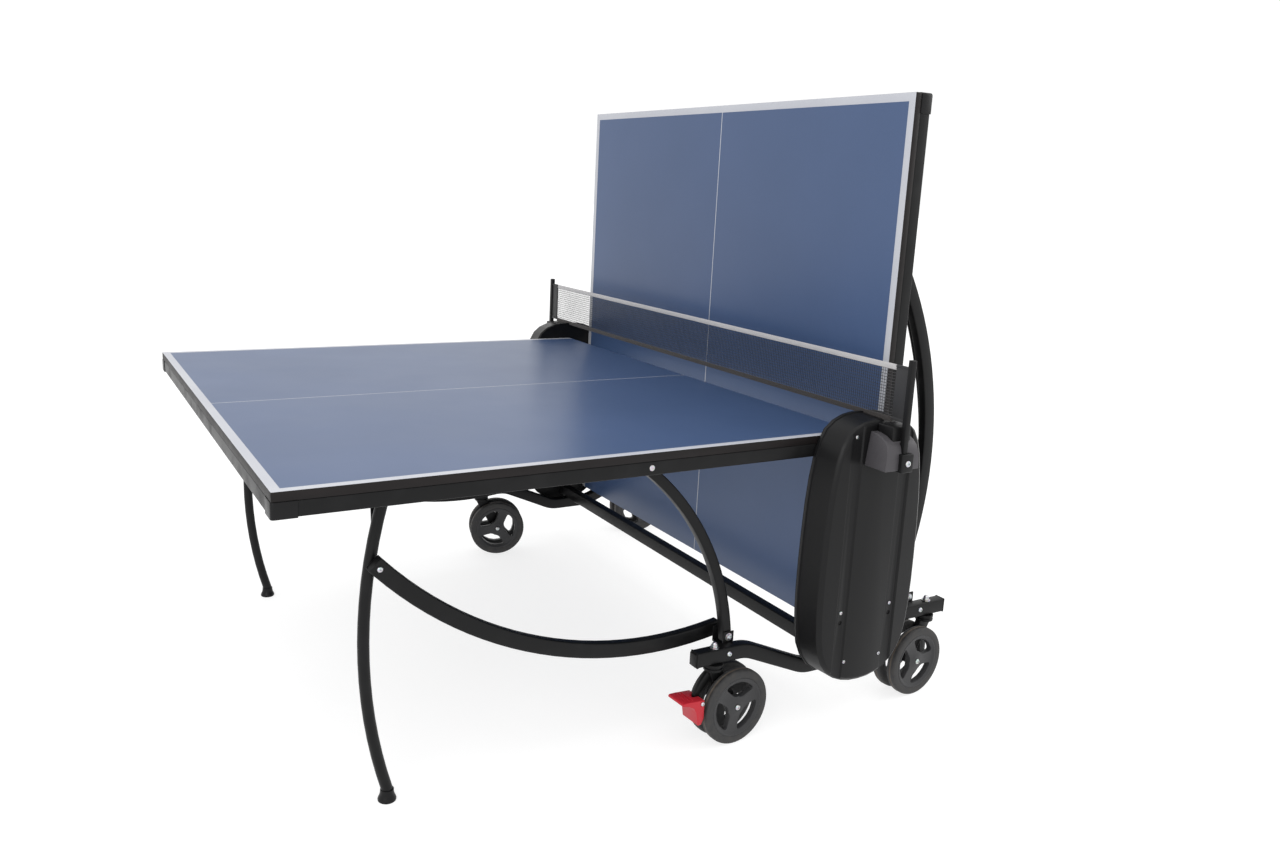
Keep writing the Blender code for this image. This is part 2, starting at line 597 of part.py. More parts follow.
# ---- casters ------------------------------------------------------------------------
def build_wheel_mesh():
    """Half-turned about Y: solid tread, thin web and hub, with three openings between the spokes."""
    hub, web, rim = 0.017, 0.004, 0.066
    half = [(AXLE_RADIUS + BOLT_PLAY, 0.011), (hub, 0.011), (hub, web), (rim, web),
            (rim + 0.003, WHEEL_HALF_WIDTH), (WHEEL_RADIUS, WHEEL_HALF_WIDTH - 0.003)]
    profile = half + [(r, -w) for r, w in reversed(half)]
    wheel = lathe(profile, 20)
    bmesh.ops.transform(wheel, matrix=Matrix.Rotation(pi / 2, 4, "X"), verts=wheel.verts)
    blank = make("wheel_blank", wheel, WHEEL_GREY)
    for spoke in range(3):
        middle = radians(90 + 60 + 120 * spoke)
        outer = [(0.060 * cos(middle + a), 0.060 * sin(middle + a)) for a in (-0.72, -0.36, 0.0, 0.36, 0.72)]
        inner = [(0.027 * cos(middle + a), 0.027 * sin(middle + a)) for a in (0.35, -0.35)]
        boolean(blank, plate(outer + inner, -0.02, 0.02))
    mesh = blank.data
    bpy.data.objects.remove(blank)
    return mesh


WHEEL_MESH = build_wheel_mesh()


def build_caster(key, x, y, heading_deg, braked):
    """A twin-wheel caster.  heading_deg is where the axle trails to, about Z from +X."""
    swivel = holder_at(f"caster_{key}_swivel", (x, y, BEAM_BOTTOM), table)
    turn = Matrix.Translation((x, y, 0)) @ Matrix.Rotation(radians(heading_deg), 4, "Z")

    head = lathe([(0, 0.193), (0.024, 0.193), (0.024, BEAM_BOTTOM - GAP), (KINGPIN_RADIUS, BEAM_BOTTOM - GAP),
                  (KINGPIN_RADIUS, BEAM_TOP + GAP), (0.0095, BEAM_TOP + GAP), (0.0095, BEAM_TOP + 0.008),
                  (0.006, BEAM_TOP + 0.0135), (0, BEAM_TOP + 0.015)], 12)
    fork = make(f"caster_fork_{key}", head, STEEL_BLACK)
    arm_outline = [(-0.022, 0.197), (0.022, 0.197), (0.034, 0.165), (0.062, 0.125), (0.072, 0.102),
                   (0.068, 0.084), (0.053, 0.080), (0.040, 0.090), (0.026, 0.112), (0.004, 0.150)]
    boolean(fork, plate(arm_outline, -FORK_HALF, FORK_HALF), "UNION")
    reach = WHEEL_SPACING / 2 + WHEEL_HALF_WIDTH + 0.001
    boolean(fork, rod((TRAIL, -reach, WHEEL_RADIUS), (TRAIL, reach, WHEEL_RADIUS), AXLE_RADIUS), "UNION")
    pedal_pivot = (-0.050, 0.128)
    if braked:
        stay = [(-0.018, 0.196), (0.004, 0.196), (-0.012, 0.168), (-0.040, 0.140), (-0.043, 0.122),
                (-0.057, 0.122), (-0.058, 0.140), (-0.040, 0.170)]
        boolean(fork, plate(stay, -0.005, 0.005), "UNION")
        boolean(fork, rod((pedal_pivot[0], -0.026, pedal_pivot[1]), (pedal_pivot[0], 0.026, pedal_pivot[1]), 0.003),
                "UNION")
    fork.data.transform(turn)
    fork.parent = swivel
    fork.matrix_parent_inverse = Matrix.Translation(-Vector(swivel["axis_at"]))

    outwards = 1 if y * cos(radians(heading_deg)) > 0 else -1
    for name, offset in (("outer", outwards), ("inner", -outwards)):
        centre = turn @ Vector((TRAIL, offset * WHEEL_SPACING / 2, WHEEL_RADIUS))
        axle = holder_at(f"wheel_{key}_{name}_axle", centre, swivel)
        wheel = bpy.data.objects.new(f"wheel_{key}_{name}", WHEEL_MESH.copy())
        bpy.context.collection.objects.link(wheel)
        wheel.data.transform(turn @ Matrix.Translation((TRAIL, offset * WHEEL_SPACING / 2, WHEEL_RADIUS)))
        wheel.parent = axle
        wheel.matrix_parent_inverse = Matrix.Translation(-centre)

    if braked:
        pedal_outline = [(-0.044, 0.136), (-0.043, 0.090), (-0.050, 0.074), (-0.060, 0.074), (-0.068, 0.120),
                         (-0.110, 0.136), (-0.106, 0.142), (-0.064, 0.138)]
        at = turn @ Vector((pedal_pivot[0], 0, pedal_pivot[1]))
        pedal_hold = holder_at(f"brake_pedal_{key}_hinge", at, swivel)
        pedal = make(f"brake_pedal_{key}", plate(pedal_outline, -0.024, 0.024), BRAKE_RED)
        boolean(pedal, block((-0.0620, -0.0056, 0.1120), (-0.0300, 0.0056, 0.1500)))
        boolean(pedal, rod((pedal_pivot[0], -0.05, pedal_pivot[1]), (pedal_pivot[0], 0.05, pedal_pivot[1]), 0.0036))
        pedal.data.transform(turn)
        pedal.parent = pedal_hold
        pedal.matrix_parent_inverse = Matrix.Translation(-at)


build_caster("a_near", -SWIVEL_X, -BEAM_Y, 4, True)
build_caster("b_near", SWIVEL_X, -BEAM_Y, 184, False)
build_caster("a_far", -SWIVEL_X, BEAM_Y, -16, False)
build_caster("b_far", SWIVEL_X, BEAM_Y, 172, True)
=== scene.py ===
# %% [markdown]
# # A roll-away table tennis table
# One half of the table is down for play and the other is folded upright.  The steel linkage,
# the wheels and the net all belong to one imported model, which this lesson loads first.  Each
# visible piece is then modelled around it, in metres, and rides on the body that carries it.

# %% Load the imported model
import json
from math import atan2, cos, hypot, pi, radians, sin, tan

import bmesh
import bpy
from mathutils import Matrix, Vector


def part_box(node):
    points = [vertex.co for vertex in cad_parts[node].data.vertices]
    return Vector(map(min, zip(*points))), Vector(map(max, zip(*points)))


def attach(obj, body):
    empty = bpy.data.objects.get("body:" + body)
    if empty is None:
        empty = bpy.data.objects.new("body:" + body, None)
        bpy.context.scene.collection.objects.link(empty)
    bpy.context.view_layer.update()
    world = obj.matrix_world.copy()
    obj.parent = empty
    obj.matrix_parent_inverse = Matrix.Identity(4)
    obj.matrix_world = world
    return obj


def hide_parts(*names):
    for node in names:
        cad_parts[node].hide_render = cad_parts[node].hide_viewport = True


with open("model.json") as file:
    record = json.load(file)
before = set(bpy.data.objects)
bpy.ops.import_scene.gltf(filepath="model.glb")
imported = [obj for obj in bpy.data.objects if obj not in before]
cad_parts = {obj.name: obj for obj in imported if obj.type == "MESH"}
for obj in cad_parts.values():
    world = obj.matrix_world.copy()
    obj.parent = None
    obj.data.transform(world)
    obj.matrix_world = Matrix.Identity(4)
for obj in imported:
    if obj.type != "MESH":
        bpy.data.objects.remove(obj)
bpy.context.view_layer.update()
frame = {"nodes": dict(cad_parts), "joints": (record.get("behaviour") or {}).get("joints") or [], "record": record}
record = frame["record"]
joints = {joint["name"]: joint for joint in frame["joints"]}
ratios = {row["joint"]: row["ratio"] for row in record["behaviour"]["couplings"]}

# %% [markdown]
# ## The camera and the studio
# The camera stands a little above the table, off one corner of the lowered half.  A white floor
# under a white sky gives even studio light with no hard shadow, as a white cove does.

# %% The camera
NET_X = sum(corner.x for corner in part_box("net")) / 2


def aim_camera(place, yaw, pitch, roll, lens, shift):
    """Yaw turns from +Y towards +X, pitch looks up, and roll leans to the right."""
    ahead = Vector((cos(pitch) * sin(yaw), cos(pitch) * cos(yaw), sin(pitch)))
    level = ahead.cross(Vector((0, 0, 1))).normalized()
    upright = level.cross(ahead)
    right = level * cos(roll) - upright * sin(roll)
    up = level * sin(roll) + upright * cos(roll)
    turn = Matrix((right, up, -ahead)).transposed().to_4x4()
    lens_data = bpy.data.cameras.new("studio_camera")
    lens_data.lens, lens_data.sensor_width = lens, 36.0
    lens_data.shift_x, lens_data.shift_y = shift
    camera = bpy.data.objects.new("studio_camera", lens_data)
    bpy.context.collection.objects.link(camera)
    camera.matrix_world = Matrix.Translation(place) @ turn
    bpy.context.scene.camera = camera


aim_camera((NET_X - 1.722, -2.543, 1.312), radians(31.0), radians(-11.955), radians(-2.835),
           28.77, (0.0094, -0.0180))

# %% [markdown]
# ## Shader maths
# A finish is built from nodes.  To keep the maths readable, a socket is wrapped in a small
# class whose + - * and abs() add the Math nodes, and one method adds any other node.

# %% A finish and its sockets
class Value:
    """A node's output, for use in sums."""

    def __init__(self, finish, socket):
        self.finish, self.socket = finish, socket

    def maths(self, operation, *others):
        inputs = dict(enumerate((self, *others)))
        return self.finish.node("ShaderNodeMath", {"operation": operation}, inputs)

    def __add__(self, other): return self.maths("ADD", other)
    def __sub__(self, other): return self.maths("SUBTRACT", other)
    def __mul__(self, other): return self.maths("MULTIPLY", other)
    def __abs__(self): return self.maths("ABSOLUTE")
    __radd__, __rmul__ = __add__, __mul__


class Finish:
    """A material with a Principled shader, built a node at a time."""

    def __init__(self, name, **fixed):
        self.material = bpy.data.materials.new(name)
        self.material.use_nodes = True
        self.tree = self.material.node_tree
        self.shader = self.tree.nodes["Principled BSDF"]
        for socket, value in fixed.items():
            self.shader.inputs[socket.replace("_", " ")].default_value = value

    def node(self, kind, settings=None, inputs=None, output=0):
        node = self.tree.nodes.new(kind)
        for key, value in (settings or {}).items():
            if key == "stops":
                self.set_stops(node.color_ramp, value)
            else:
                setattr(node, key, value)
        for key, value in (inputs or {}).items():
            self.feed(node.inputs[key], value)
        return Value(self, node.outputs[output])

    def set_stops(self, ramp, stops):
        while len(ramp.elements) < len(stops):
            ramp.elements.new(1.0)
        for element, (place, grey) in zip(ramp.elements, stops):
            element.position, element.color = place, (grey, grey, grey, 1.0)

    def feed(self, socket, value):
        if isinstance(value, Value):
            self.tree.links.new(value.socket, socket)
        else:
            socket.default_value = value

    def place(self):
        return self.node("ShaderNodeTexCoord", output="Object")

    def noise(self, scale, detail=3.0, stretch=(1, 1, 1)):
        point = self.node("ShaderNodeMapping", {}, {"Vector": self.place(), "Scale": stretch})
        return self.node("ShaderNodeTexNoise", {}, {"Vector": point, "Scale": scale, "Detail": detail}, "Fac")

    def cells(self, scale, output="Distance", **settings):
        return self.node("ShaderNodeTexVoronoi", settings, {"Vector": self.place(), "Scale": scale}, output)

    def speckle(self, scale, detail, low, high):
        """Noise between two levels of it, spread over nought to one."""
        return self.node("ShaderNodeValToRGB", {"stops": ((low, 0.0), (high, 1.0))},
                         {"Fac": self.noise(scale, detail)})

    def mix(self, share, first, second):
        inputs = {0: share, 6: rgba(first), 7: rgba(second)}
        return self.node("ShaderNodeMix", {"data_type": "RGBA"}, inputs, 2)

    def bump(self, height, distance, strength):
        return self.node("ShaderNodeBump", {}, {"Height": height, "Distance": distance, "Strength": strength})

    def wear(self, **varying):
        for socket, value in varying.items():
            self.feed(self.shader.inputs[socket.replace("_", " ")], value)
        return self.material


def rgba(colour):
    return colour if isinstance(colour, Value) else (*colour, 1.0)


print("shader maths ready")

# %% [markdown]
# ## The painted top
# The real top is particle board with a roller-coated blue lacquer.  The roller leaves a faint
# orange peel, and the lacquer is satin, a touch glossier in some patches than in others.  The
# white lines are the same lacquer in another colour, so they share the peel.

# %% Lacquer for the field and the lines
def lacquer(name, deep, pale, roughness):
    finish = Finish(name, Specular_IOR_Level=0.45)
    cloud = finish.speckle(2.6, 4.0, 0.35, 0.65)
    speck = finish.speckle(420.0, 2.0, 0.55, 0.75)
    tint = finish.mix(speck * 0.25, finish.mix(cloud, deep, pale), tuple(1.25 * part for part in pale))
    peel = finish.noise(260.0, 2.0) + 0.35 * finish.noise(900.0, 1.0)
    return finish.wear(Base_Color=tint, Roughness=roughness + 0.05 * finish.noise(7.0, 3.0),
                       Normal=finish.bump(peel, 0.00012, 0.35))


BLUE_FIELD = lacquer("blue_field", (0.044, 0.080, 0.172), (0.049, 0.087, 0.186), 0.34)
WHITE_LINE = lacquer("white_line", (0.43, 0.44, 0.48), (0.48, 0.49, 0.52), 0.40)

# %% [markdown]
# The cut edge of the board is closed with a thin brown-black band, and the underside has a dark
# primer that shows the chips of the board a little.

# %% Edge band and primed underside
def edge_band():
    finish = Finish("edge_band", Specular_IOR_Level=0.2)
    streak = finish.noise(55.0, 3.0, (0.15, 0.15, 1.0))
    return finish.wear(Base_Color=finish.mix(streak, (0.004, 0.0035, 0.0035), (0.013, 0.010, 0.010)),
                       Roughness=0.40 + 0.2 * finish.noise(18.0), Normal=finish.bump(streak, 0.0001, 0.5))


def primed_underside():
    finish = Finish("primed_underside", Specular_IOR_Level=0.3)
    chips = finish.cells(140.0)
    shade = finish.noise(9.0, 4.0)
    tint = finish.mix(0.6 * chips + 0.5 * shade, (0.012, 0.013, 0.016), (0.040, 0.040, 0.042))
    return finish.wear(Base_Color=tint,
                       Roughness=0.62 + 0.15 * shade, Normal=finish.bump(chips, 0.0003, 0.5))


EDGE_BAND, UNDERSIDE = edge_band(), primed_underside()
print("lacquer", BLUE_FIELD.name, WHITE_LINE.name, EDGE_BAND.name, UNDERSIDE.name)

# %% [markdown]
# ## Powder coat, plastic, zinc and rubber
# The tubes have a black powder coat, which is a fine even grain with a soft gloss and a little
# dust.  Moulded plastic has a slightly coarser spark-eroded grain.  Zinc shows its crystals.

# %% Powder-coated steel
def powder_coat():
    finish = Finish("black_powder_coat", Specular_IOR_Level=0.19)
    grain = finish.noise(1400.0, 2.0)
    dust = finish.speckle(14.0, 6.0, 0.48, 0.72)
    return finish.wear(Base_Color=finish.mix(0.5 * dust, (0.0042, 0.0043, 0.0046), (0.012, 0.012, 0.0125)),
                       Roughness=0.34 + 0.14 * dust + 0.05 * grain,
                       Normal=finish.bump(grain, 0.00010, 0.45))


def moulded(name, colour, pale, roughness, grain_size=700.0, depth=0.00014, spec=0.27):
    finish = Finish(name, Specular_IOR_Level=spec)
    grain = finish.cells(grain_size, feature="SMOOTH_F1")
    flow = finish.noise(5.0, 5.0, (1.0, 1.0, 0.35))
    return finish.wear(Base_Color=finish.mix(flow, colour, pale),
                       Roughness=roughness + 0.12 * (finish.noise(22.0, 4.0) - 0.5),
                       Normal=finish.bump(grain, depth, 0.6))


BLACK_STEEL = powder_coat()
BLACK_PLASTIC = moulded("black_moulding", (0.0048, 0.0048, 0.0052), (0.0085, 0.0085, 0.0090), 0.36,
                        spec=0.18)
GREY_PLASTIC = moulded("grey_moulding", (0.046, 0.044, 0.048), (0.066, 0.062, 0.068), 0.42)
DARK_PLASTIC = moulded("dark_grey_moulding", (0.026, 0.026, 0.027), (0.038, 0.038, 0.040), 0.46)
RED_PLASTIC = moulded("red_moulding", (0.36, 0.012, 0.022), (0.46, 0.018, 0.030), 0.36, 900.0, 0.00008)


# %% Bright zinc
def bright_zinc():
    finish = Finish("bright_zinc", Metallic=1.0)
    crystal = finish.cells(420.0, "Color")
    shade = finish.mix(0.22, (0.62, 0.63, 0.66), crystal)
    scratch = finish.noise(160.0, 3.0, (1.0, 1.0, 8.0))
    return finish.wear(Base_Color=finish.mix(0.35 * finish.noise(30.0), shade, (0.30, 0.29, 0.28)),
                       Roughness=0.22 + 0.22 * scratch, Normal=finish.bump(scratch, 0.00008, 0.4))


ZINC = bright_zinc()


# %% Tyre rubber
def tyre_rubber(name, dark, dusty):
    finish = Finish(name, Specular_IOR_Level=0.35)
    dust = finish.speckle(60.0, 6.0, 0.40, 0.70)
    return finish.wear(Base_Color=finish.mix(0.7 * dust, dark, dusty), Roughness=0.58 + 0.22 * dust,
                       Normal=finish.bump(finish.noise(600.0, 3.0), 0.0002, 0.5))


RUBBER = tyre_rubber("tyre_rubber", (0.024, 0.024, 0.025), (0.052, 0.049, 0.046))
TYRE_LINE = tyre_rubber("tyre_parting_line", (0.062, 0.050, 0.040), (0.110, 0.092, 0.074))


# %% Net cord, tape and hem
def woven(name, dark, pale, threads):
    """Plain weave on the piece's own length and height, from two crossing waves."""
    finish = Finish(name, Specular_IOR_Level=0.2, Sheen_Weight=0.25)
    along, up = (finish.node("ShaderNodeSeparateXYZ", {}, {"Vector": finish.place()}, axis) for axis in "YZ")
    weave = abs((along * (pi * threads)).maths("SINE")) * abs((up * (pi * threads)).maths("SINE"))
    return finish.wear(Base_Color=finish.mix(weave + 0.2 * finish.noise(40.0), dark, pale),
                       Roughness=0.85, Normal=finish.bump(weave, 0.0003, 0.6))


NET_CORD = woven("net_cord", (0.012, 0.012, 0.014), (0.030, 0.030, 0.034), 2500.0)
NET_TAPE = woven("net_tape", (0.36, 0.35, 0.35), (0.54, 0.53, 0.53), 1100.0)
NET_HEM = woven("net_hem", (0.012, 0.010, 0.010), (0.040, 0.034, 0.032), 1100.0)
print("finishes", len(bpy.data.materials))

# %% [markdown]
# ## The floor and the lights
# The floor is one wide sheet, and it is a stage piece, so it is no part of the table.  A wide
# sun brings the floor up to the white of the sky, so that the two meet without an edge, and two
# soft panels put long highlights on the tubes.

# %% Floor
def fresh_start():
    """Object mode with nothing selected."""
    if bpy.context.mode != "OBJECT":
        bpy.ops.object.mode_set(mode="OBJECT")
    bpy.ops.object.select_all(action="DESELECT")


def studio_white():
    finish = Finish("studio_white", Specular_IOR_Level=0.1, Emission_Strength=0.78)
    paper = finish.noise(3.0, 4.0)
    return finish.wear(Base_Color=finish.mix(paper, (0.30, 0.30, 0.30), (0.32, 0.32, 0.32)),
                       Emission_Color=finish.mix(paper, (0.99, 0.99, 0.99), (1.0, 1.0, 1.0)),
                       Roughness=0.85 + 0.05 * paper)


def lay_floor(size, drop):
    fresh_start()
    bpy.ops.mesh.primitive_plane_add(size=size, location=(0, 0, -drop))
    floor = bpy.context.object
    floor.name = "studio_floor"
    floor.data.materials.append(studio_white())


def light_from(lamp, place, heading):
    """Hang a lamp at a place, shining along a heading."""
    light = bpy.data.objects.new(lamp.name, lamp)
    bpy.context.collection.objects.link(light)
    turn = Vector(heading).to_track_quat("-Z", "Y").to_matrix().to_4x4()
    light.matrix_world = Matrix.Translation(place) @ turn


def soft_light(name, place, target, size, power):
    lamp = bpy.data.lights.new(name, "AREA")
    lamp.shape, lamp.size, lamp.energy = "DISK", size, power
    light_from(lamp, place, Vector(target) - Vector(place))


def high_sun(strength, spread, heading):
    """A very wide sun, which is a light from overhead that is the same all over the floor."""
    lamp = bpy.data.lights.new("high_sun", "SUN")
    lamp.energy, lamp.angle = strength, radians(spread)
    light_from(lamp, (0, 0, 0), heading)


def white_sky(strength):
    sky = bpy.data.worlds.new("white_sky")
    sky.use_nodes = True
    background = sky.node_tree.nodes["Background"].inputs
    background["Color"].default_value = (1.0, 1.0, 1.0, 1.0)
    background["Strength"].default_value = strength
    bpy.context.scene.world = sky


lay_floor(120.0, 0.0005)
high_sun(0.9, 70, (0.12, 0.18, -1.0))
soft_light("front_panel", (-3.4, -3.6, 2.6), (0.1, 0.0, 0.6), 2.6, 60.0)
soft_light("side_panel", (4.2, -1.6, 2.4), (0.3, 0.0, 0.7), 2.2, 30.0)
white_sky(1.03)
bpy.context.scene.view_settings.view_transform = "Standard"
print("studio ready")

# %% [markdown]
# ## The fold
# Both halves are the same, so each piece is modelled once, for a half that lies flat on the
# +X side of the net, at the near side.  r is the distance from the net.  A copy is then turned
# into each place where the piece belongs, by the same turns as the real linkage makes.

# %% Places of the pivots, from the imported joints
def pivot(name):
    """A joint's place in the plane of motion: distance from the net plane, and height."""
    x, _, z = joints[name]["pos_m"]
    return abs(x - NET_X), z


SLIDE_PIN, PIN_UP = pivot("panel_a_fold"), pivot("panel_b_fold")
HIP, ARM_JOINT, BEAM_PIVOT = pivot("legs_a_hinge"), pivot("arms_a_hinge"), pivot("links_a_hinge")


def turn_about(centre, angle, rise=0.0):
    """Turn from +r towards +Z about a centre, then lift."""
    lift = Matrix.Translation((centre[0], 0, centre[1] + rise))
    return lift @ Matrix.Rotation(-angle, 4, "Y") @ Matrix.Translation((-centre[0], 0, -centre[1]))


def share(joint):
    return ratios[joint] * pi / 2


panel_up = turn_about(SLIDE_PIN, pi / 2, PIN_UP[1] - SLIDE_PIN[1])
RAISED = {"panel": panel_up,
          "legs": panel_up @ turn_about(HIP, share("legs_a_hinge")),
          "arms": panel_up @ turn_about(ARM_JOINT, share("arms_a_hinge")),
          "links": turn_about(BEAM_PIVOT, share("links_a_hinge"))}
AT_NET = Matrix.Translation((NET_X, 0, 0))
FLAT_A = AT_NET @ Matrix.Diagonal((-1, 1, 1, 1))
SIDES = {"near": Matrix.Identity(4), "far": Matrix.Diagonal((1, -1, 1, 1))}
print("slide pin", SLIDE_PIN, "hip", HIP, "arm joint", ARM_JOINT, "beam pivot", BEAM_PIVOT)

# %% [markdown]
# ## Workshop helpers
# Each helper does one thing that a modeller does by hand: start a block, pick faces, round the
# edges, bend a tube, turn a shape on its axis, or set a finished copy in its place.

# %% Blocks and edges
def block(name, low, high):
    """A squared block between two corners, as a start for shaping."""
    fresh_start()
    low, high = Vector(low), Vector(high)
    bpy.ops.mesh.primitive_cube_add(size=1, location=(low + high) / 2, scale=high - low)
    return settle(name)


def settle(name):
    """Name the new object and put its place into its mesh."""
    piece = bpy.context.object
    piece.name = name
    bpy.ops.object.transform_apply(location=True, rotation=True, scale=True)
    return piece


def make_active(piece):
    fresh_start()
    piece.select_set(True)
    bpy.context.view_layer.objects.active = piece


def edit(piece, mode="FACE"):
    make_active(piece)
    bpy.ops.object.mode_set(mode="EDIT")
    bpy.ops.mesh.select_mode(type=mode)


def pick_all():
    bpy.ops.mesh.select_all(action="SELECT")


def push_out(step):
    """Extrude what is picked by a step."""
    bpy.ops.mesh.extrude_region_move(TRANSFORM_OT_translate={"value": step})


def pick_faces(piece, wanted):
    """Select the faces for which wanted(centre, normal) is true."""
    bpy.ops.mesh.select_all(action="DESELECT")
    mesh = bmesh.from_edit_mesh(piece.data)
    for face in mesh.faces:
        if wanted(face.calc_center_median(), face.normal):
            face.select_set(True)
    bmesh.update_edit_mesh(piece.data)


def pick_edges(piece, wanted):
    """Select the edges for which wanted(first end, second end) is true."""
    bpy.ops.mesh.select_all(action="DESELECT")
    mesh = bmesh.from_edit_mesh(piece.data)
    for edge in mesh.edges:
        edge.select_set(bool(wanted(edge.verts[0].co, edge.verts[1].co)))
    bmesh.update_edit_mesh(piece.data)


def ease_edges(piece, wanted, width, segments):
    """Round the edges for which wanted(first end, second end) is true."""
    edit(piece, "EDGE")
    pick_edges(piece, wanted)
    bpy.ops.mesh.bevel(offset=width, segments=segments, affect="EDGES")
    fresh_start()


def ease_long_edges(piece, axis, length, width, segments):
    """Round the edges that run along an axis and are longer than a length."""
    ease_edges(piece, lambda first, second: abs((first - second)[axis]) > length, width, segments)


def face_outwards():
    pick_all()
    bpy.ops.mesh.normals_make_consistent(inside=False)
    fresh_start()


def apply_modifier(piece, kind, **settings):
    modifier = piece.modifiers.new("shape", kind)
    for key, value in settings.items():
        setattr(modifier, key, value)
    make_active(piece)
    bpy.ops.object.modifier_apply(modifier=modifier.name)
    return piece


def rounded(piece, width, segments=2, angle=32):
    return apply_modifier(piece, "BEVEL", width=width, segments=segments, limit_method="ANGLE",
                          angle_limit=radians(angle), use_clamp_overlap=True)


def cut(piece, tool, operation="DIFFERENCE"):
    """Cut a piece with another, or join them into one solid, and put the tool away."""
    apply_modifier(piece, "BOOLEAN", operation=operation, solver="EXACT", object=tool)
    bpy.data.objects.remove(tool)
    return piece


def moved(piece, matrix):
    piece.data.transform(matrix)
    return piece


def joined(name, pieces):
    fresh_start()
    for piece in pieces:
        piece.select_set(True)
    bpy.context.view_layer.objects.active = pieces[0]
    bpy.ops.object.join()
    pieces[0].name = name
    return pieces[0]


# %% Bent tubes
def bent_tube(name, y, start, heading, moves, box=None, radius=None, wall=0.0015, mouth=0.012, sides=24):
    """Bend a tube in the plane of motion: ("go", length) and ("turn", radius, angle) moves.

    box is (width, depth, corner radius).  Both ends are left open, as sawn tube is.
    """
    fresh_start()
    if box:
        bpy.ops.mesh.primitive_plane_add(size=1)
        bpy.context.object.scale = (box[0], box[1], 1)
    else:
        bpy.ops.mesh.primitive_circle_add(vertices=sides, radius=radius, fill_type="NGON")
    tube = bpy.context.object
    bpy.ops.object.transform_apply(location=True, rotation=True, scale=True)
    if box:
        edit(tube, "VERT")
        pick_all()
        bpy.ops.mesh.bevel(offset=box[2], segments=3, affect="VERTICES")
        make_active(tube)
    across, ahead = Vector((-sin(heading), 0, cos(heading))), Vector((cos(heading), 0, sin(heading)))
    turn = Matrix((Vector((0, 1, 0)), across, ahead)).transposed().to_4x4()
    tube.matrix_world = Matrix.Translation((start[0], y, start[1])) @ turn
    settle(name)
    edit(tube)
    pick_all()
    at, towards = Vector((start[0], y, start[1])), heading
    for move in moves:
        if move[0] == "go":
            step = Vector((cos(towards), 0, sin(towards))) * move[1]
            push_out(step)
            at = at + step
        else:
            _, bend, angle = move
            left = Vector((-sin(towards), 0, cos(towards))) * (bend if angle > 0 else -bend)
            centre = at + left
            steps = max(2, round(abs(angle) * min(1.0, 0.35 + bend) / radians(2.2)))
            bpy.ops.mesh.spin(steps=steps, angle=angle, center=centre, axis=(0, 1, 0))
            towards += angle
            at = centre + Matrix.Rotation(-angle, 3, "Y") @ -left
    for end, inwards in ((at, towards + pi), (Vector((start[0], y, start[1])), heading)):
        pick_faces(tube, lambda centre, normal: (centre - end).length < 0.0005)
        bpy.ops.mesh.inset(thickness=wall)
        push_out(Vector((cos(inwards), 0, sin(inwards))) * mouth)
    face_outwards()
    return tube


def bow_moves(start, end, rise):
    """Heading at the start, bend radius and turn of a bow that bulges to its left by rise."""
    run, climb = end[0] - start[0], end[1] - start[1]
    chord, lift = hypot(run, climb), abs(rise)
    radius = (chord * chord / 4 + lift * lift) / (2 * lift)
    half = atan2(chord / 2, radius - lift)
    turn = -2 * half if rise > 0 else 2 * half
    return atan2(climb, run) - turn / 2, radius, turn


# %% Turned shapes and outlines
def turned(name, profile, sides=32, ring=False):
    """Turn (radius, height) points about Z.  A ring ends where it starts."""
    fresh_start()
    radius, height = profile[0]
    bpy.ops.mesh.primitive_circle_add(vertices=sides, radius=radius, location=(0, 0, height),
                                      fill_type="NOTHING" if ring else "NGON")
    piece = settle(name)
    edit(piece, "EDGE" if ring else "FACE")
    pick_all()
    for (r_from, z_from), (r_to, z_to) in zip(profile, profile[1:]):
        lift = (0, 0, z_to - z_from)
        if ring:
            bpy.ops.mesh.extrude_edges_move(TRANSFORM_OT_translate={"value": lift})
        else:
            push_out(lift)
        bpy.ops.transform.resize(value=(r_to / r_from, r_to / r_from, 1), center_override=(0, 0, z_to))
    pick_all()
    bpy.ops.mesh.remove_doubles(threshold=0.00001)
    face_outwards()
    return piece


def outline_block(name, outline, y_from, y_to):
    """A filled circle whose corners are set on an outline of (r, z) points, pulled out along Y."""
    fresh_start()
    bpy.ops.mesh.primitive_circle_add(vertices=len(outline), radius=1, fill_type="NGON")
    piece = settle(name)
    for corner, (r, z) in zip(piece.data.vertices, outline):
        corner.co = (r, y_from, z)
    edit(piece)
    pick_all()
    push_out((0, y_to - y_from, 0))
    face_outwards()
    return piece


# %% Finished copies
REPLACED = set()
MATERIAL_OF = {"board_blue": BLUE_FIELD, "steel_black": BLACK_STEEL, "plastic_black": BLACK_PLASTIC,
               "plastic_grey": GREY_PLASTIC, "zinc_steel": ZINC, "wheel_grey": RUBBER,
               "net_black": NET_CORD, "brake_red": RED_PLASTIC}


def clad(piece, *finishes):
    """Give a model its finishes, in the order of its face numbers, and smooth its shading."""
    for finish in finishes:
        piece.data.materials.append(finish)
    make_active(piece)
    bpy.ops.object.shade_smooth_by_angle(angle=radians(38))
    return piece


def set_in(piece, body, nodes=()):
    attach(piece, body)
    if nodes:
        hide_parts(*nodes)
        REPLACED.update(nodes)
    return piece


def copy_to(model, name, matrix):
    piece = model.copy()
    piece.data = model.data.copy()
    piece.name = name
    bpy.context.collection.objects.link(piece)
    moved(piece, matrix)
    if matrix.determinant() < 0:
        piece.data.flip_normals()
    return piece


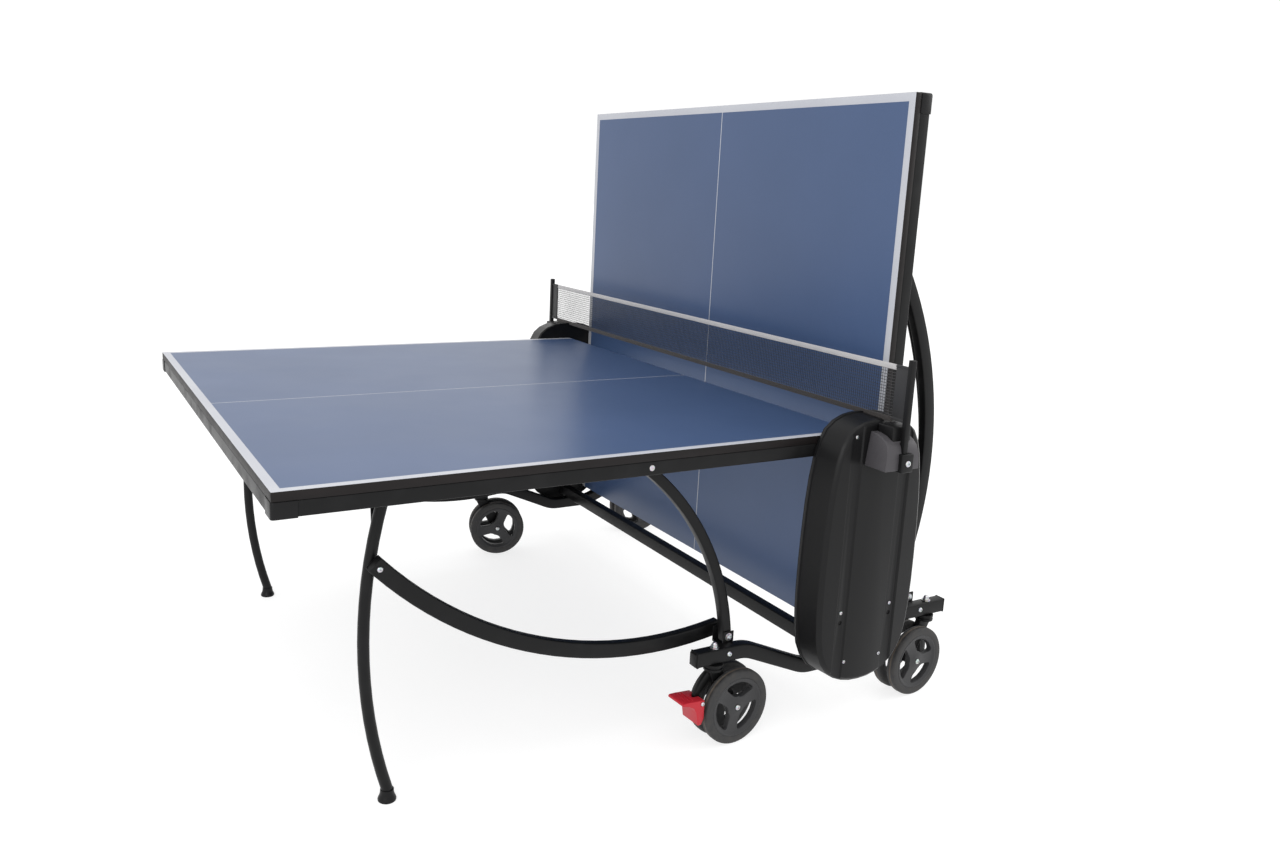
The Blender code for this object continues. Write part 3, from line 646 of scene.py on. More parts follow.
def to_both_halves(model, stem, group, node=None, sides=("near", "far")):
    """Set copies on half a, which lies flat, and half b, which stands, at the sides named."""
    for key, half in (("a", FLAT_A), ("b", AT_NET @ RAISED[group])):
        for side in sides:
            end = f"{key}_{side}" if len(sides) > 1 else key
            piece = copy_to(model, f"{stem}_{end}", half @ SIDES[side])
            set_in(piece, f"{group}_{key}", [f"{node}_{end}"] if node else ())
    bpy.data.objects.remove(model)


def to_both_sides(model, stem, node=None, body="undercarriage"):
    for side, matrix in SIDES.items():
        piece = copy_to(model, f"{stem}_{side}", AT_NET @ matrix)
        set_in(piece, body, [f"{node}_{side}"] if node else ())
    bpy.data.objects.remove(model)


print("helpers ready")

# %% [markdown]
# ## The two tops
# Each top is a 19 mm board.  Its edge is eased a little, and the lines are painted: 20 mm along
# the side and end edges, and 3 mm down the middle.  The lines are cut into the top face as
# faces of their own, so that they stay crisp, and the net edge has none.

# %% Top board
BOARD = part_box("board_a")
LENGTH, HALF_WIDTH = NET_X - BOARD[0].x, BOARD[1].y
NET_EDGE, TOP_Z, UNDER_Z = NET_X - BOARD[1].x, BOARD[1].z, BOARD[0].z
BORDER, CENTRE_LINE = 0.020, 0.0015


def top_board():
    board = rounded(block("top", (NET_EDGE, -HALF_WIDTH, UNDER_Z), (LENGTH, HALF_WIDTH, TOP_Z)), 0.0008, 2)
    edit(board)
    for along, at in ((0, LENGTH - BORDER), (1, HALF_WIDTH - BORDER), (1, BORDER - HALF_WIDTH),
                      (1, CENTRE_LINE), (1, -CENTRE_LINE)):
        pick_all()
        point, normal = [0, 0, 0], [0, 0, 0]
        point[along], normal[along] = at, 1
        bpy.ops.mesh.bisect(plane_co=point, plane_no=normal)
    fresh_start()
    for face in board.data.polygons:
        r, y, z = face.center
        if z < UNDER_Z + 0.0001:
            face.material_index = 3
        elif face.normal.z < 0.9:
            face.material_index = 2
        elif r > LENGTH - BORDER or abs(y) > HALF_WIDTH - BORDER or abs(y) < CENTRE_LINE:
            face.material_index = 1
    return clad(board, BLUE_FIELD, WHITE_LINE, EDGE_BAND, UNDERSIDE)


to_both_halves(top_board(), "top", "panel", "board", ("near",))
print("tops", round(LENGTH, 4), round(2 * HALF_WIDTH, 4))

# %% [markdown]
# ## The rails and their corner caps
# A steel apron runs round each top: rectangular tube with rounded corners along the sides, the
# outer end and the net edge.  Where the side and end tubes meet, a moulded cap covers the joint,
# and it stands a little proud of them.

# %% Rails
def node_span(node):
    """A flat node's lowest and highest corners, measured from the net plane outwards."""
    low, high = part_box(node)
    return Vector((NET_X - high.x, low.y, low.z)), Vector((NET_X - low.x, high.y, high.z))


def hollow_ends(piece, axis, wall=0.0016, deep=0.015):
    """Push the two end faces of a tube inwards, leaving its wall."""
    edit(piece)
    for sign in (-1, 1):
        pick_faces(piece, lambda centre, normal: normal[axis] * sign > 0.99)
        bpy.ops.mesh.inset(thickness=wall)
        push = [0, 0, 0]
        push[axis] = -sign * deep
        push_out(push)
    fresh_start()
    return piece


def rail(name, node, axis, low_more=0.0, high_more=0.0):
    """Square tube with its long edges rounded and its ends open, run on at either end.

    A side rail's node holds the bolt and boss of its arm too, so its width is the end rail's.
    """
    low, high = node_span(node)
    low[axis] -= low_more
    high[axis] += high_more
    if axis == 0:
        high.y = low.y + RAIL_WIDTH
    tube = block(name, low, high)
    ease_long_edges(tube, axis, 0.2, 0.0028, 4)
    return clad(hollow_ends(tube, axis), BLACK_STEEL)


END_RAIL = node_span("end_rail_a")
RAIL_WIDTH = END_RAIL[1].x - END_RAIL[0].x
CAP_REACH, CAP_PROUD, CORNER_RADIUS = 0.048, 0.0015, 0.007
CORNER = node_span("corner_a_near")
RUN_ON = CORNER[1].x - CORNER[0].x - CAP_REACH
to_both_halves(rail("side", "side_rail_a_near", 0, 0.0, RUN_ON), "long_rail", "panel",
               "side_rail")
to_both_halves(rail("end", "end_rail_a", 1, RUN_ON, RUN_ON), "outer_rail", "panel", "end_rail",
               ("near",))
to_both_halves(rail("net_edge", "net_edge_rail_a", 1), "inner_rail", "panel", "net_edge_rail",
               ("near",))

# %% Corner caps
def corner_cap():
    """Two short blocks, one along each rail, made one, with the table's own corner rounded."""
    low, high = CORNER
    width = RAIL_WIDTH + CAP_PROUD
    cap = block("cap", (high.x - CAP_REACH, low.y, low.z), (high.x, low.y + width, high.z))
    cut(cap, block("return", (high.x - width, low.y, low.z), (high.x, low.y + CAP_REACH, high.z)), "UNION")

    def outermost(*ends):
        return all(hypot(end.x - high.x, end.y - low.y) < 0.0002 for end in ends)

    ease_edges(cap, outermost, CORNER_RADIUS, 5)
    return clad(rounded(cap, 0.0009, 2), BLACK_PLASTIC)


to_both_halves(corner_cap(), "corner_cap", "panel", "corner")
print("rails and caps in place, rail width", round(RAIL_WIDTH, 4))

# %% [markdown]
# ## The linkage
# The legs are bowed round tube, the long links and the shorter arms are bowed rectangular tube.
# Each is one bend of constant radius between its two pivots, with a short straight end past
# each, so the tube is bent just as a workshop bends it: a section is spun about the bend's
# centre.

# %% Legs, feet and cross tubes
def middle_of(node):
    return sum(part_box(node), Vector()) / 2


LEG_Y, FOOT_R = middle_of("leg_a_near").y, NET_X - middle_of("foot_a_near").x
CROSS_RADIUS, LEG_RADIUS, LEG_BOW, LEG_END = 0.010, 0.0125, 0.052, 0.026
BRACE_HEAD = (HIP[0] + 0.002, LEG_Y + 0.118, HIP[1] - 0.005)
BRACE_FOOT = (1.1390, LEG_Y + 0.008, 0.560)


def bowed_leg():
    top, bottom = (HIP[0], HIP[1] - CROSS_RADIUS + 0.003), (FOOT_R, LEG_END)
    heading, radius, turn = bow_moves(top, bottom, LEG_BOW)
    return clad(bent_tube("leg", LEG_Y, top, heading, [("turn", radius, turn)], radius=LEG_RADIUS, sides=28),
                BLACK_STEEL)


def foot_cap():
    profile = [(0.0185, 0.0), (0.0198, 0.0012), (0.0200, 0.0045), (0.0188, 0.0080), (0.0166, 0.0125),
               (0.0152, 0.0175), (0.0147, 0.0230), (0.0146, 0.0262), (0.0136, 0.0268), (0.0060, 0.0268)]
    return clad(moved(turned("foot", profile, 36), Matrix.Translation((FOOT_R, LEG_Y, 0))), BLACK_PLASTIC)


def leg_brace():
    """A thin rod from the cross tube down to the leg, inside it."""
    span = Vector(BRACE_HEAD) - Vector(BRACE_FOOT)
    rod = turned("brace", [(0.0030, 0.0), (0.0045, 0.0015), (0.0045, span.length - 0.0015),
                           (0.0030, span.length)], 16)
    turn = span.to_track_quat("Z", "Y").to_matrix().to_4x4()
    return clad(moved(rod, Matrix.Translation(BRACE_FOOT) @ turn), BLACK_STEEL)


to_both_halves(bowed_leg(), "bowed_leg", "legs", "leg")
to_both_halves(foot_cap(), "foot_cap", "legs", "foot")
to_both_halves(leg_brace(), "leg_brace", "legs")

# %% Links and arms
LINK_Y, ARM_Y, BAR_HALF = middle_of("link_a_near").y, middle_of("arm_a_near").y, 0.0125
LINK_ON_LEG, LINK_BOW, ARM_BOW, PAST_BOLT = (1.142, 0.543), -0.110, 0.060, 0.011


def linkage_bar(name, y, end, rise, past_end, box):
    heading, radius, turn = bow_moves(BEAM_PIVOT, end, rise)
    start = (BEAM_PIVOT[0] - cos(heading) * PAST_BOLT, BEAM_PIVOT[1] - sin(heading) * PAST_BOLT)
    moves = [("go", PAST_BOLT), ("turn", radius, turn), ("go", past_end)]
    return clad(bent_tube(name, y, start, heading, moves, box=box, wall=0.0022, mouth=0.0012), BLACK_STEEL)


to_both_halves(linkage_bar("link", LINK_Y, LINK_ON_LEG, LINK_BOW, 0.014, (2 * BAR_HALF, 0.036, 0.004)),
               "leg_link", "links", "link")
to_both_halves(linkage_bar("arm", ARM_Y, ARM_JOINT, ARM_BOW, 0.008, (2 * BAR_HALF, 0.025, 0.004)),
               "panel_arm", "arms", "arm")
print("legs, links and arms in place")

# %% [markdown]
# ## The wheel beams
# A beam runs along each side from caster to caster.  It is rectangular tube that dips under the
# folded tops, with a moulded cap in each sawn end.  A folded ear and a small bracket stand on it
# where the linkage pivots.

# %% Wheel beam
BEAM_Y, BEAM_END, BEAM_HIGH, BEAM_LOW = -0.7195, 0.405, 0.229, 0.1465
BEAM_WIDTH, BEAM_DEPTH, BEND_RADIUS = 0.030, 0.037, 0.110
DIP_FOOT, DIP_TOP = 0.0764, 0.2636
EAR_HALF, EAR_ABOVE, BRACKET_Y = 0.0155, 0.014, -0.6600


def plate(name, low, high, edge=0.0015, segments=2):
    return rounded(block(name, low, high), edge, segments)


def wheel_beam():
    slope = atan2(BEAM_HIGH - BEAM_LOW, DIP_TOP - DIP_FOOT)
    setback = BEND_RADIUS * tan(slope / 2)
    run = hypot(BEAM_HIGH - BEAM_LOW, DIP_TOP - DIP_FOOT) - 2 * setback
    down, up = ("turn", BEND_RADIUS, -slope), ("turn", BEND_RADIUS, slope)
    level = BEAM_END - DIP_TOP - setback
    moves = [("go", level), down, ("go", run), up, ("go", 2 * (DIP_FOOT - setback)), up, ("go", run), down,
             ("go", level)]
    beam = clad(bent_tube("beam", BEAM_Y, (-BEAM_END, BEAM_HIGH), 0.0, moves,
                          box=(BEAM_WIDTH, BEAM_DEPTH, 0.004), wall=0.0018), BLACK_STEEL)
    face, bolt_z = BEAM_Y + BEAM_WIDTH / 2, BEAM_PIVOT[1]
    ear = (face - 0.001, face + 0.0026, BEAM_HIGH - 0.010, bolt_z + EAR_ABOVE)
    shelf = (face - 0.001, BRACKET_Y - 0.0002, bolt_z - 0.0258, bolt_z - 0.0220)
    upstand = (BRACKET_Y - 0.0034, BRACKET_Y, bolt_z - 0.0256, bolt_z + EAR_ABOVE)
    parts = [beam]
    for x in (-BEAM_PIVOT[0], BEAM_PIVOT[0]):
        for low_y, high_y, low_z, high_z in (ear, shelf, upstand):
            parts.append(clad(plate("plate", (x - EAR_HALF, low_y, low_z), (x + EAR_HALF, high_y, high_z)),
                              BLACK_STEEL))
    return joined("beam", parts)


def beam_cap(side):
    """A square cap with a thin lip outside the tube and a plug inside it."""
    x = side * BEAM_END
    near, far = sorted((x, x + side * 0.005))
    lip = plate("lip", (near, BEAM_Y - 0.0156, BEAM_HIGH - 0.0192),
                (far, BEAM_Y + 0.0156, BEAM_HIGH + 0.0192), 0.0018)
    plug = plate("plug", (x - 0.009, BEAM_Y - 0.0125, BEAM_HIGH - 0.016),
                 (x + 0.001, BEAM_Y + 0.0125, BEAM_HIGH + 0.016), 0.001)
    return clad(joined("cap", [lip, plug]), BLACK_PLASTIC)


to_both_sides(wheel_beam(), "wheel_rail", "wheel_beam")
to_both_sides(joined("caps", [beam_cap(-1), beam_cap(1)]), "rail_end_caps")

# %% Bar between the beams
def under_bar():
    bar = block("bar", *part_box("cross_bar"))
    ease_long_edges(bar, 1, 0.2, 0.003, 3)
    return clad(bar, BLACK_STEEL)


set_in(under_bar(), "undercarriage", ["cross_bar"])
print("wheel beams in place")

# %% [markdown]
# ## Screws, bolts and nuts
# Small bright hardware tells the eye how big things are.  Four kinds are enough: a button head
# with a socket, a pan head with a cross, a hex nut on a washer, and the domed nut on top of a
# caster's kingpin.  Each is made once at the origin, head up, and set where it is needed.

# %% Four kinds of hardware
def button_head(radius=0.0072, tall=0.0042):
    head = turned("button", [(radius, 0.0), (radius, 0.25 * tall), (0.9 * radius, 0.62 * tall),
                             (0.72 * radius, 0.88 * tall), (0.5 * radius, tall), (0.36 * radius, tall)], 24)
    socket = turned("socket", [(0.34 * radius, 0.4 * tall), (0.34 * radius, 1.6 * tall)], 6)
    return clad(cut(head, socket), ZINC)


def pan_head(radius=0.0045, tall=0.0024):
    head = turned("pan", [(radius, 0.0), (radius, 0.35 * tall), (0.88 * radius, 0.75 * tall),
                          (0.6 * radius, tall), (0.3 * radius, 1.04 * tall)], 20)
    for turn in (0, pi / 2):
        slot = block("slot", (-0.55 * radius, -0.12 * radius, 0.55 * tall),
                     (0.55 * radius, 0.12 * radius, 2 * tall))
        cut(head, moved(slot, Matrix.Rotation(turn, 4, "Z")))
    return clad(head, ZINC)


def hex_nut(radius=0.0088, tall=0.0055):
    washer = turned("washer", [(0.0052, 0.0), (1.22 * radius, 0.0), (1.22 * radius, 0.0011),
                               (0.0052, 0.0011)], 28)
    nut = rounded(turned("nut", [(radius, 0.0011), (radius, tall)], 6), 0.0006, 2, 50)
    end = turned("end", [(0.0046, tall - 0.0005), (0.0046, tall + 0.0012), (0.0036, tall + 0.0020)], 16)
    return clad(joined("hex_nut", [washer, nut, end]), ZINC)


def dome_nut(radius=0.0094):
    washer = turned("washer", [(0.0118, 0.0), (0.0118, 0.0014), (0.0060, 0.0014)], 28)
    hexagon = rounded(turned("hexagon", [(radius, 0.0014), (radius, 0.0074)], 6), 0.0006, 2, 50)
    dome = turned("dome", [(0.0070, 0.0070), (0.0068, 0.0095), (0.0060, 0.0118), (0.0045, 0.0136),
                           (0.0024, 0.0147), (0.0008, 0.0150)], 24)
    return clad(joined("dome_nut", [washer, hexagon, dome]), ZINC)


HARDWARE = {"button": button_head(), "pan": pan_head(), "nut": hex_nut(), "dome": dome_nut()}
AWAY = {"-y": Matrix.Rotation(pi / 2, 4, "X"), "+y": Matrix.Rotation(-pi / 2, 4, "X"),
        "+z": Matrix.Identity(4)}


def hardware(*places):
    """Join copies of the hardware: (kind, way that the head points, place, size)."""
    return joined("hardware", [
        copy_to(HARDWARE[kind], "hardware", Matrix.Translation(place) @ AWAY[way] @ Matrix.Scale(size, 4))
        for kind, way, place, size in places])


def laid_at(place, y=0):
    """Where a shape that was turned about Z goes, laid along Y at a place in the plane of motion."""
    return Matrix.Translation((place[0], y, place[1])) @ AWAY["-y"]


# %% Hardware on the linkage
RAIL_INSIDE, ARM_OUTSIDE, BUTTON_FLAT, SCREW_X = RAIL_WIDTH - HALF_WIDTH, ARM_Y - BAR_HALF, 0.42, 0.318
rail_bolt = moved(hardware(("button", "-y", (ARM_JOINT[0], 0, ARM_JOINT[1]), 0.92)),
                  Matrix.Translation((0, -HALF_WIDTH, 0)) @ Matrix.Scale(BUTTON_FLAT, 4, (0, 1, 0)))
to_both_halves(rail_bolt, "rail_bolt", "panel")
spacer = clad(turned("spacer", [(0.008, 0), (0.008, ARM_OUTSIDE - RAIL_INSIDE)], 24), BLACK_STEEL)
moved(spacer, Matrix.Translation((ARM_JOINT[0], RAIL_INSIDE, ARM_JOINT[1])) @ AWAY["+y"])
to_both_halves(spacer, "arm_spacer", "panel")
to_both_halves(hardware(("nut", "+y", (ARM_JOINT[0], ARM_Y + BAR_HALF, ARM_JOINT[1]), 0.8)),
               "arm_joint_nut", "arms")
to_both_halves(hardware(("button", "-y", (LINK_ON_LEG[0], LINK_Y - BAR_HALF, LINK_ON_LEG[1]), 0.90),
                        ("nut", "+y", (LINK_ON_LEG[0], LEG_Y + LEG_RADIUS - 0.0005, LINK_ON_LEG[1]), 0.75)),
               "leg_link_bolt", "links")
to_both_halves(hardware(("button", "+y", (BEAM_PIVOT[0], ARM_Y + BAR_HALF, BEAM_PIVOT[1]), 1.0)),
               "arm_foot_bolt", "arms")
beam_hardware = []
for side in (-1, 1):
    pivot_x = side * BEAM_PIVOT[0]
    beam_hardware += [("nut", "-y", (pivot_x, BEAM_Y + 0.0142, BEAM_PIVOT[1] + 0.0002), 0.9),
                      ("button", "-y", (side * SCREW_X, BEAM_Y - BEAM_WIDTH / 2, BEAM_HIGH + 0.002), 0.95),
                      ("nut", "+y", (pivot_x, LINK_Y + BAR_HALF, BEAM_PIVOT[1]), 0.62)]
to_both_sides(hardware(*beam_hardware), "beam_bolts")
print("hardware on the linkage")

# %% [markdown]
# ## The casters
# Each caster has two wheels on one axle, a fork between them, and a domed nut on top of the
# kingpin.  A wheel is a tyre on a moulded hub, whose disc has three rounded windows and so three
# spokes.  The tyre is turned as a closed ring, with a tread that is crowned and a thin parting
# line.  Everything is modelled at a heading of nought, trailing towards +X, and then turned to
# each caster's own heading, which is read from where its wheels sit.

# %% Wheel
TYRE, RIM, HUB_HALF = 0.095, 0.0745, 0.013
TRAIL, WHEEL_STEP = 0.055, 0.025
WINDOW_OUTER, WINDOW_INNER, WINDOW_CORNER = 0.0632, 0.0262, 0.0078
TREAD, LINE_HALF = 0.0935, 0.0024


def closed_ring(name, half, sides):
    """Turn half of a section and its mirror image into a closed ring."""
    return turned(name, half + [(r, -z) for r, z in reversed(half)] + [half[0]], sides, ring=True)


def paint_wheel(piece, choose):
    """Clad a part of the wheel: choose(centre) is 0 for rubber, 1 for its line and 2 for the hub."""
    clad(piece, RUBBER, TYRE_LINE, DARK_PLASTIC)
    for face in piece.data.polygons:
        face.material_index = int(choose(face.center))
    return piece


def tyre_ring():
    side = [(RIM, -0.0116), (0.0800, -0.0126), (0.0900, -0.0126), (0.0922, -0.0119), (0.0938, -0.0100),
            (0.0947, -0.0070), (TYRE, -0.0026), (0.0946, -0.0020), (0.0944, -0.0014)]
    return paint_wheel(closed_ring("tyre", side, 56),
                       lambda centre: hypot(centre.x, centre.y) > TREAD and abs(centre.z) < LINE_HALF)


def hub_disc():
    """A dished disc with a raised boss and rim, and three windows between its spokes."""
    half = [(0.0052, 0.0112), (0.0130, 0.0112), (0.0160, 0.0104), (0.0240, 0.0082), (0.0400, 0.0072),
            (0.0620, 0.0076), (0.0655, 0.0090), (0.0685, 0.0112), (0.0705, 0.0124), (0.0732, 0.0124),
            (0.0746, 0.0112)]
    hub = closed_ring("hub", half, 48)
    for spoke in range(3):
        middle = radians(150 + 120 * spoke)
        outer, inner = ([(radius * cos(middle + step), radius * sin(middle + step)) for step in steps]
                        for radius, steps in ((WINDOW_OUTER, (-0.78, -0.56, -0.28, 0.0, 0.28, 0.56, 0.78)),
                                              (WINDOW_INNER, (0.46, 0.0, -0.46))))
        corners = (outer[0], outer[-1], inner[0], inner[-1])

        def at_corner(first, second):
            return abs(first.y - second.y) > 0.03 and \
                any(hypot(first.x - r, first.z - z) < 0.0004 for r, z in corners)

        window = outline_block("window", outer + inner, -0.02, 0.02)
        ease_edges(window, at_corner, WINDOW_CORNER, 4)
        cut(hub, moved(window, AWAY["-y"]))
    return paint_wheel(rounded(hub, 0.0006, 2, 40), lambda centre: 2)


WHEEL_MODEL = joined("wheel", [tyre_ring(), hub_disc()])
print("wheel", len(WHEEL_MODEL.data.polygons), "faces")

# %% Fork and head
FORK_HALF = 0.009
FORK_OUTLINE = [(-0.022, 0.197), (0.022, 0.197), (0.034, 0.165), (0.062, 0.125), (0.072, 0.102),
                (0.068, 0.084), (0.053, 0.080), (0.040, 0.090), (0.026, 0.112), (0.004, 0.150)]
BRAKE_STAY = [(-0.018, 0.196), (0.004, 0.196), (-0.012, 0.168), (-0.040, 0.140), (-0.043, 0.122),
              (-0.057, 0.122), (-0.058, 0.140), (-0.040, 0.170)]
BRAKE_PIVOT, FIRST_RIB, RIB_PITCH = (-0.050, 0.128), -0.1015, 0.008
BEAM_UNDER = BEAM_HIGH - BEAM_DEPTH / 2


def caster_head():
    return turned("head", [(0.0225, 0.1930), (0.0240, 0.1940), (0.0240, 0.1990), (0.0226, 0.1998),
                           (0.0214, 0.2008), (0.0214, 0.2028), (0.0226, 0.2038), (0.0240, 0.2046),
                           (0.0240, 0.2092), (0.0234, BEAM_UNDER - 0.0006)], 40)


def caster_fork(braked):
    blade = rounded(outline_block("fork", FORK_OUTLINE, -FORK_HALF, FORK_HALF), 0.0022, 3, 25)
    parts = [blade, caster_head()]
    reach = WHEEL_STEP + HUB_HALF
    axle = turned("axle", [(0.0044, -reach), (0.0048, 0.0004 - reach), (0.0048, reach - 0.0004),
                           (0.0044, reach)], 20)
    parts.append(moved(axle, laid_at((TRAIL, TYRE))))
    if braked:
        parts.append(rounded(outline_block("stay", BRAKE_STAY, -0.005, 0.005), 0.0014, 2, 25))
        pin = turned("pin", [(0.0026, -0.0258), (0.0030, -0.0250), (0.0030, 0.0250), (0.0026, 0.0258)], 16)
        parts.append(moved(pin, laid_at(BRAKE_PIVOT)))
    return clad(joined("fork", parts), BLACK_STEEL)


# %% Brake lever
def brake_lever():
    """A foot lever over the wheels: a curved pressing tab, two cheeks and the shoe between them."""
    outline = [(-0.044, 0.136), (-0.043, 0.090), (-0.050, 0.074), (-0.060, 0.074), (-0.066, 0.108),
               (-0.074, 0.121), (-0.090, 0.130), (-0.109, 0.1355), (-0.1065, 0.1415), (-0.086, 0.1405),
               (-0.064, 0.138)]
    lever = outline_block("lever", outline, -0.0300, 0.0300)
    cut(lever, block("notch", (-0.0620, -0.0056, 0.1120), (-0.0300, 0.0056, 0.1500)))
    cut(lever, moved(turned("hole", [(0.0036, -0.05), (0.0036, 0.05)], 20), laid_at(BRAKE_PIVOT)))
    rounded(lever, 0.0018, 3, 25)
    ribs = [plate("rib", (x, -0.022, 0.1385), (x + 0.003, 0.022, 0.1418), 0.0006)
            for x in (FIRST_RIB + RIB_PITCH * step for step in range(4))]
    return clad(joined("lever", [lever, *ribs]), RED_PLASTIC)


# %% Four casters
WINDOW_TURN = {"a_near": 70, "b_near": 30, "a_far": 20, "b_far": 80}


def set_caster(key, braked):
    """Turn the models to this caster's heading and set each piece on its body."""
    swivel = Vector(joints[f"caster_{key}_swivel"]["pos_m"])
    inner, outer = (Vector(joints[f"wheel_{key}_{which}_spin"]["pos_m"]) for which in ("inner", "outer"))
    trail = (inner + outer) / 2 - swivel
    turn = Matrix.Translation((swivel.x, swivel.y, 0)) @ Matrix.Rotation(atan2(trail.y, trail.x), 4, "Z")

    def bright(name, body, kind, way, place, size, extra=Matrix.Identity(4)):
        piece = moved(hardware((kind, way, place, size)), turn @ extra)
        piece.name = name
        set_in(piece, body)

    body = f"caster_{key}"
    set_in(copy_to(FORK_MODELS[braked], f"twin_fork_{key}", turn), body,
           [f"caster_fork_{key}"])
    bright(f"kingpin_nut_{key}", body, "dome", "+z", (0, 0, BEAM_HIGH + BEAM_DEPTH / 2 + 0.0003), 1.0)
    for which, centre in (("inner", inner), ("outer", outer)):
        local = turn.inverted() @ centre
        side, body = (1 if local.y > 0 else -1), f"wheel_{key}_{which}"
        flip = Matrix.Rotation(0 if side > 0 else pi, 4, "Z")
        at = turn @ Matrix.Translation((TRAIL, local.y, TYRE)) @ \
            Matrix.Rotation(radians(WINDOW_TURN[key]), 4, "Y")
        set_in(copy_to(WHEEL_MODEL, f"twin_wheel_{key}_{which}", at @ flip @ AWAY["+y"]), body,
               [body])
        bright(f"axle_bolt_{key}_{which}", body, "button", "+y", (0, 0, 0), 1.0,
               Matrix.Translation((TRAIL, side * (WHEEL_STEP + 0.0118), TYRE)) @ flip)
    if braked:
        body = f"brake_pedal_{key}"
        set_in(copy_to(LEVER_MODEL, f"foot_brake_{key}", turn), body, [body])
        for side, way, which in ((-1, "-y", "outer"), (1, "+y", "inner")):
            bright(f"brake_screw_{key}_{which}", body, "button", way,
                   (BRAKE_PIVOT[0], side * 0.0301, BRAKE_PIVOT[1]), 0.75)


FORK_MODELS = {braked: caster_fork(braked) for braked in (False, True)}
LEVER_MODEL = brake_lever()
for key, braked in (("a_near", True), ("b_near", False), ("a_far", False), ("b_far", True)):
    set_caster(key, braked)
for model in (WHEEL_MODEL, LEVER_MODEL, *FORK_MODELS.values()):
    bpy.data.objects.remove(model)
print("casters in place")

# %% [markdown]
# ## The side covers
# A moulded cover hides the guide plate at each side of the net.  It is a shell with a small
# flange at its back, a chamfered face, two sunk channels down the face and six screws.  Its
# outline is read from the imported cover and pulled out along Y, insets make the flange and the
# chamfer, and the back is hollowed.

# %% Cover shell
def packed_outline(node, y):
    """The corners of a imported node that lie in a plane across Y, in order round its middle."""
    corners = {(round(vertex.co.x - NET_X, 5), round(vertex.co.z, 5))
               for vertex in frame["nodes"][node].data.vertices if abs(vertex.co.y - y) < 0.0002}
    middle = sum(z for _, z in corners) / len(corners)
    return sorted(corners, key=lambda corner: atan2(corner[1] - middle, corner[0]))


COVER = [corner - AT_NET.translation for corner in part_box("side_cover_near")]
COVER_BACK, COVER_FACE = COVER[1].y, COVER[0].y
CHANNEL, CHANNEL_FLOOR = (0.060, 0.097), COVER_FACE + 0.004
CHANNEL_FOOT, CHANNEL_TOP, HOLE_AT = 0.10, 0.90, (0.079, 0.312)
FLANGE, HOLLOW, TAPER = 0.007, 0.060, (0.985, 1, 0.993)


def side_cover():
    rim = packed_outline("side_cover_near", COVER_FACE + 0.014)
    grow = (COVER[1].x - COVER[0].x) / (2 * max(x for x, _ in rim)), \
        (COVER[1].z - COVER[0].z) / (max(z for _, z in rim) - min(z for _, z in rim))
    middle = (COVER[0].z + COVER[1].z) / 2
    outline = [(x * grow[0], middle + (z - middle) * grow[1]) for x, z in rim]
    shell = outline_block("cover", outline, COVER_BACK, COVER_BACK - FLANGE)
    edit(shell)
    pick_faces(shell, lambda centre, normal: normal.y < -0.99)
    bpy.ops.mesh.inset(thickness=0.003)
    wall = COVER_FACE + 0.0100
    push_out((0, wall - COVER_BACK + FLANGE, 0))
    bpy.ops.transform.resize(value=TAPER, center_override=(0, wall, middle))
    for inset, rise in ((0.0036, 0.0056), (0.0064, 0.0044)):
        bpy.ops.mesh.inset(thickness=inset)
        bpy.ops.transform.translate(value=(0, -rise, 0))
    pick_faces(shell, lambda centre, normal: normal.y > 0.99 and abs(centre.y - COVER_BACK) < 0.0005)
    bpy.ops.mesh.inset(thickness=0.006)
    push_out((0, -HOLLOW, 0))
    bpy.ops.transform.resize(value=TAPER, center_override=(0, COVER_BACK - HOLLOW, middle))
    face_outwards()
    for side in (-1, 1):
        near, far = sorted((side * CHANNEL[0], side * CHANNEL[1]))
        tool = block("channel", (near, COVER_FACE - 0.004, CHANNEL_FOOT), (far, CHANNEL_FLOOR, CHANNEL_TOP))
        edit(tool)
        pick_faces(tool, lambda centre, normal: normal.y > 0.9)
        bpy.ops.transform.resize(value=(0.82, 1, 1), center_override=((near + far) / 2, CHANNEL_FLOOR, 0.5))
        bpy.ops.mesh.select_mode(type="EDGE")
        pick_edges(tool, lambda first, second: min(first.y, second.y) > CHANNEL_FLOOR - 0.0001
                   and abs(first.z - second.z) > 0.5)
        bpy.ops.mesh.bevel(offset=0.0012, segments=3, affect="EDGES")
        fresh_start()
        cut(shell, tool)
        hole = turned("hole", [(0.0058, -0.003), (0.0058, 0.003)], 24)
        cut(shell, moved(hole, laid_at((side * HOLE_AT[0], HOLE_AT[1]), CHANNEL_FLOOR)))
    return clad(rounded(shell, 0.0009, 2, 24), BLACK_PLASTIC)


to_both_sides(side_cover(), "moulded_cover", "side_cover")
SCREWS = ((0.081, CHANNEL_FLOOR, 0.772), (0.079, CHANNEL_FLOOR, 0.337), (0.057, COVER_FACE + 0.0014, 0.208))
to_both_sides(hardware(*(("pan", "-y", (side * x, y, z), 1.0) for side in (-1, 1) for x, y, z in SCREWS)),
              "cover_screws")
print("covers in place")

# %% [markdown]
# ## The net set
# A grey apron leans out of the cover's top and carries a clamp with one screw.  The post stands
# in the clamp, and a thin flag plate holds the end of the net.

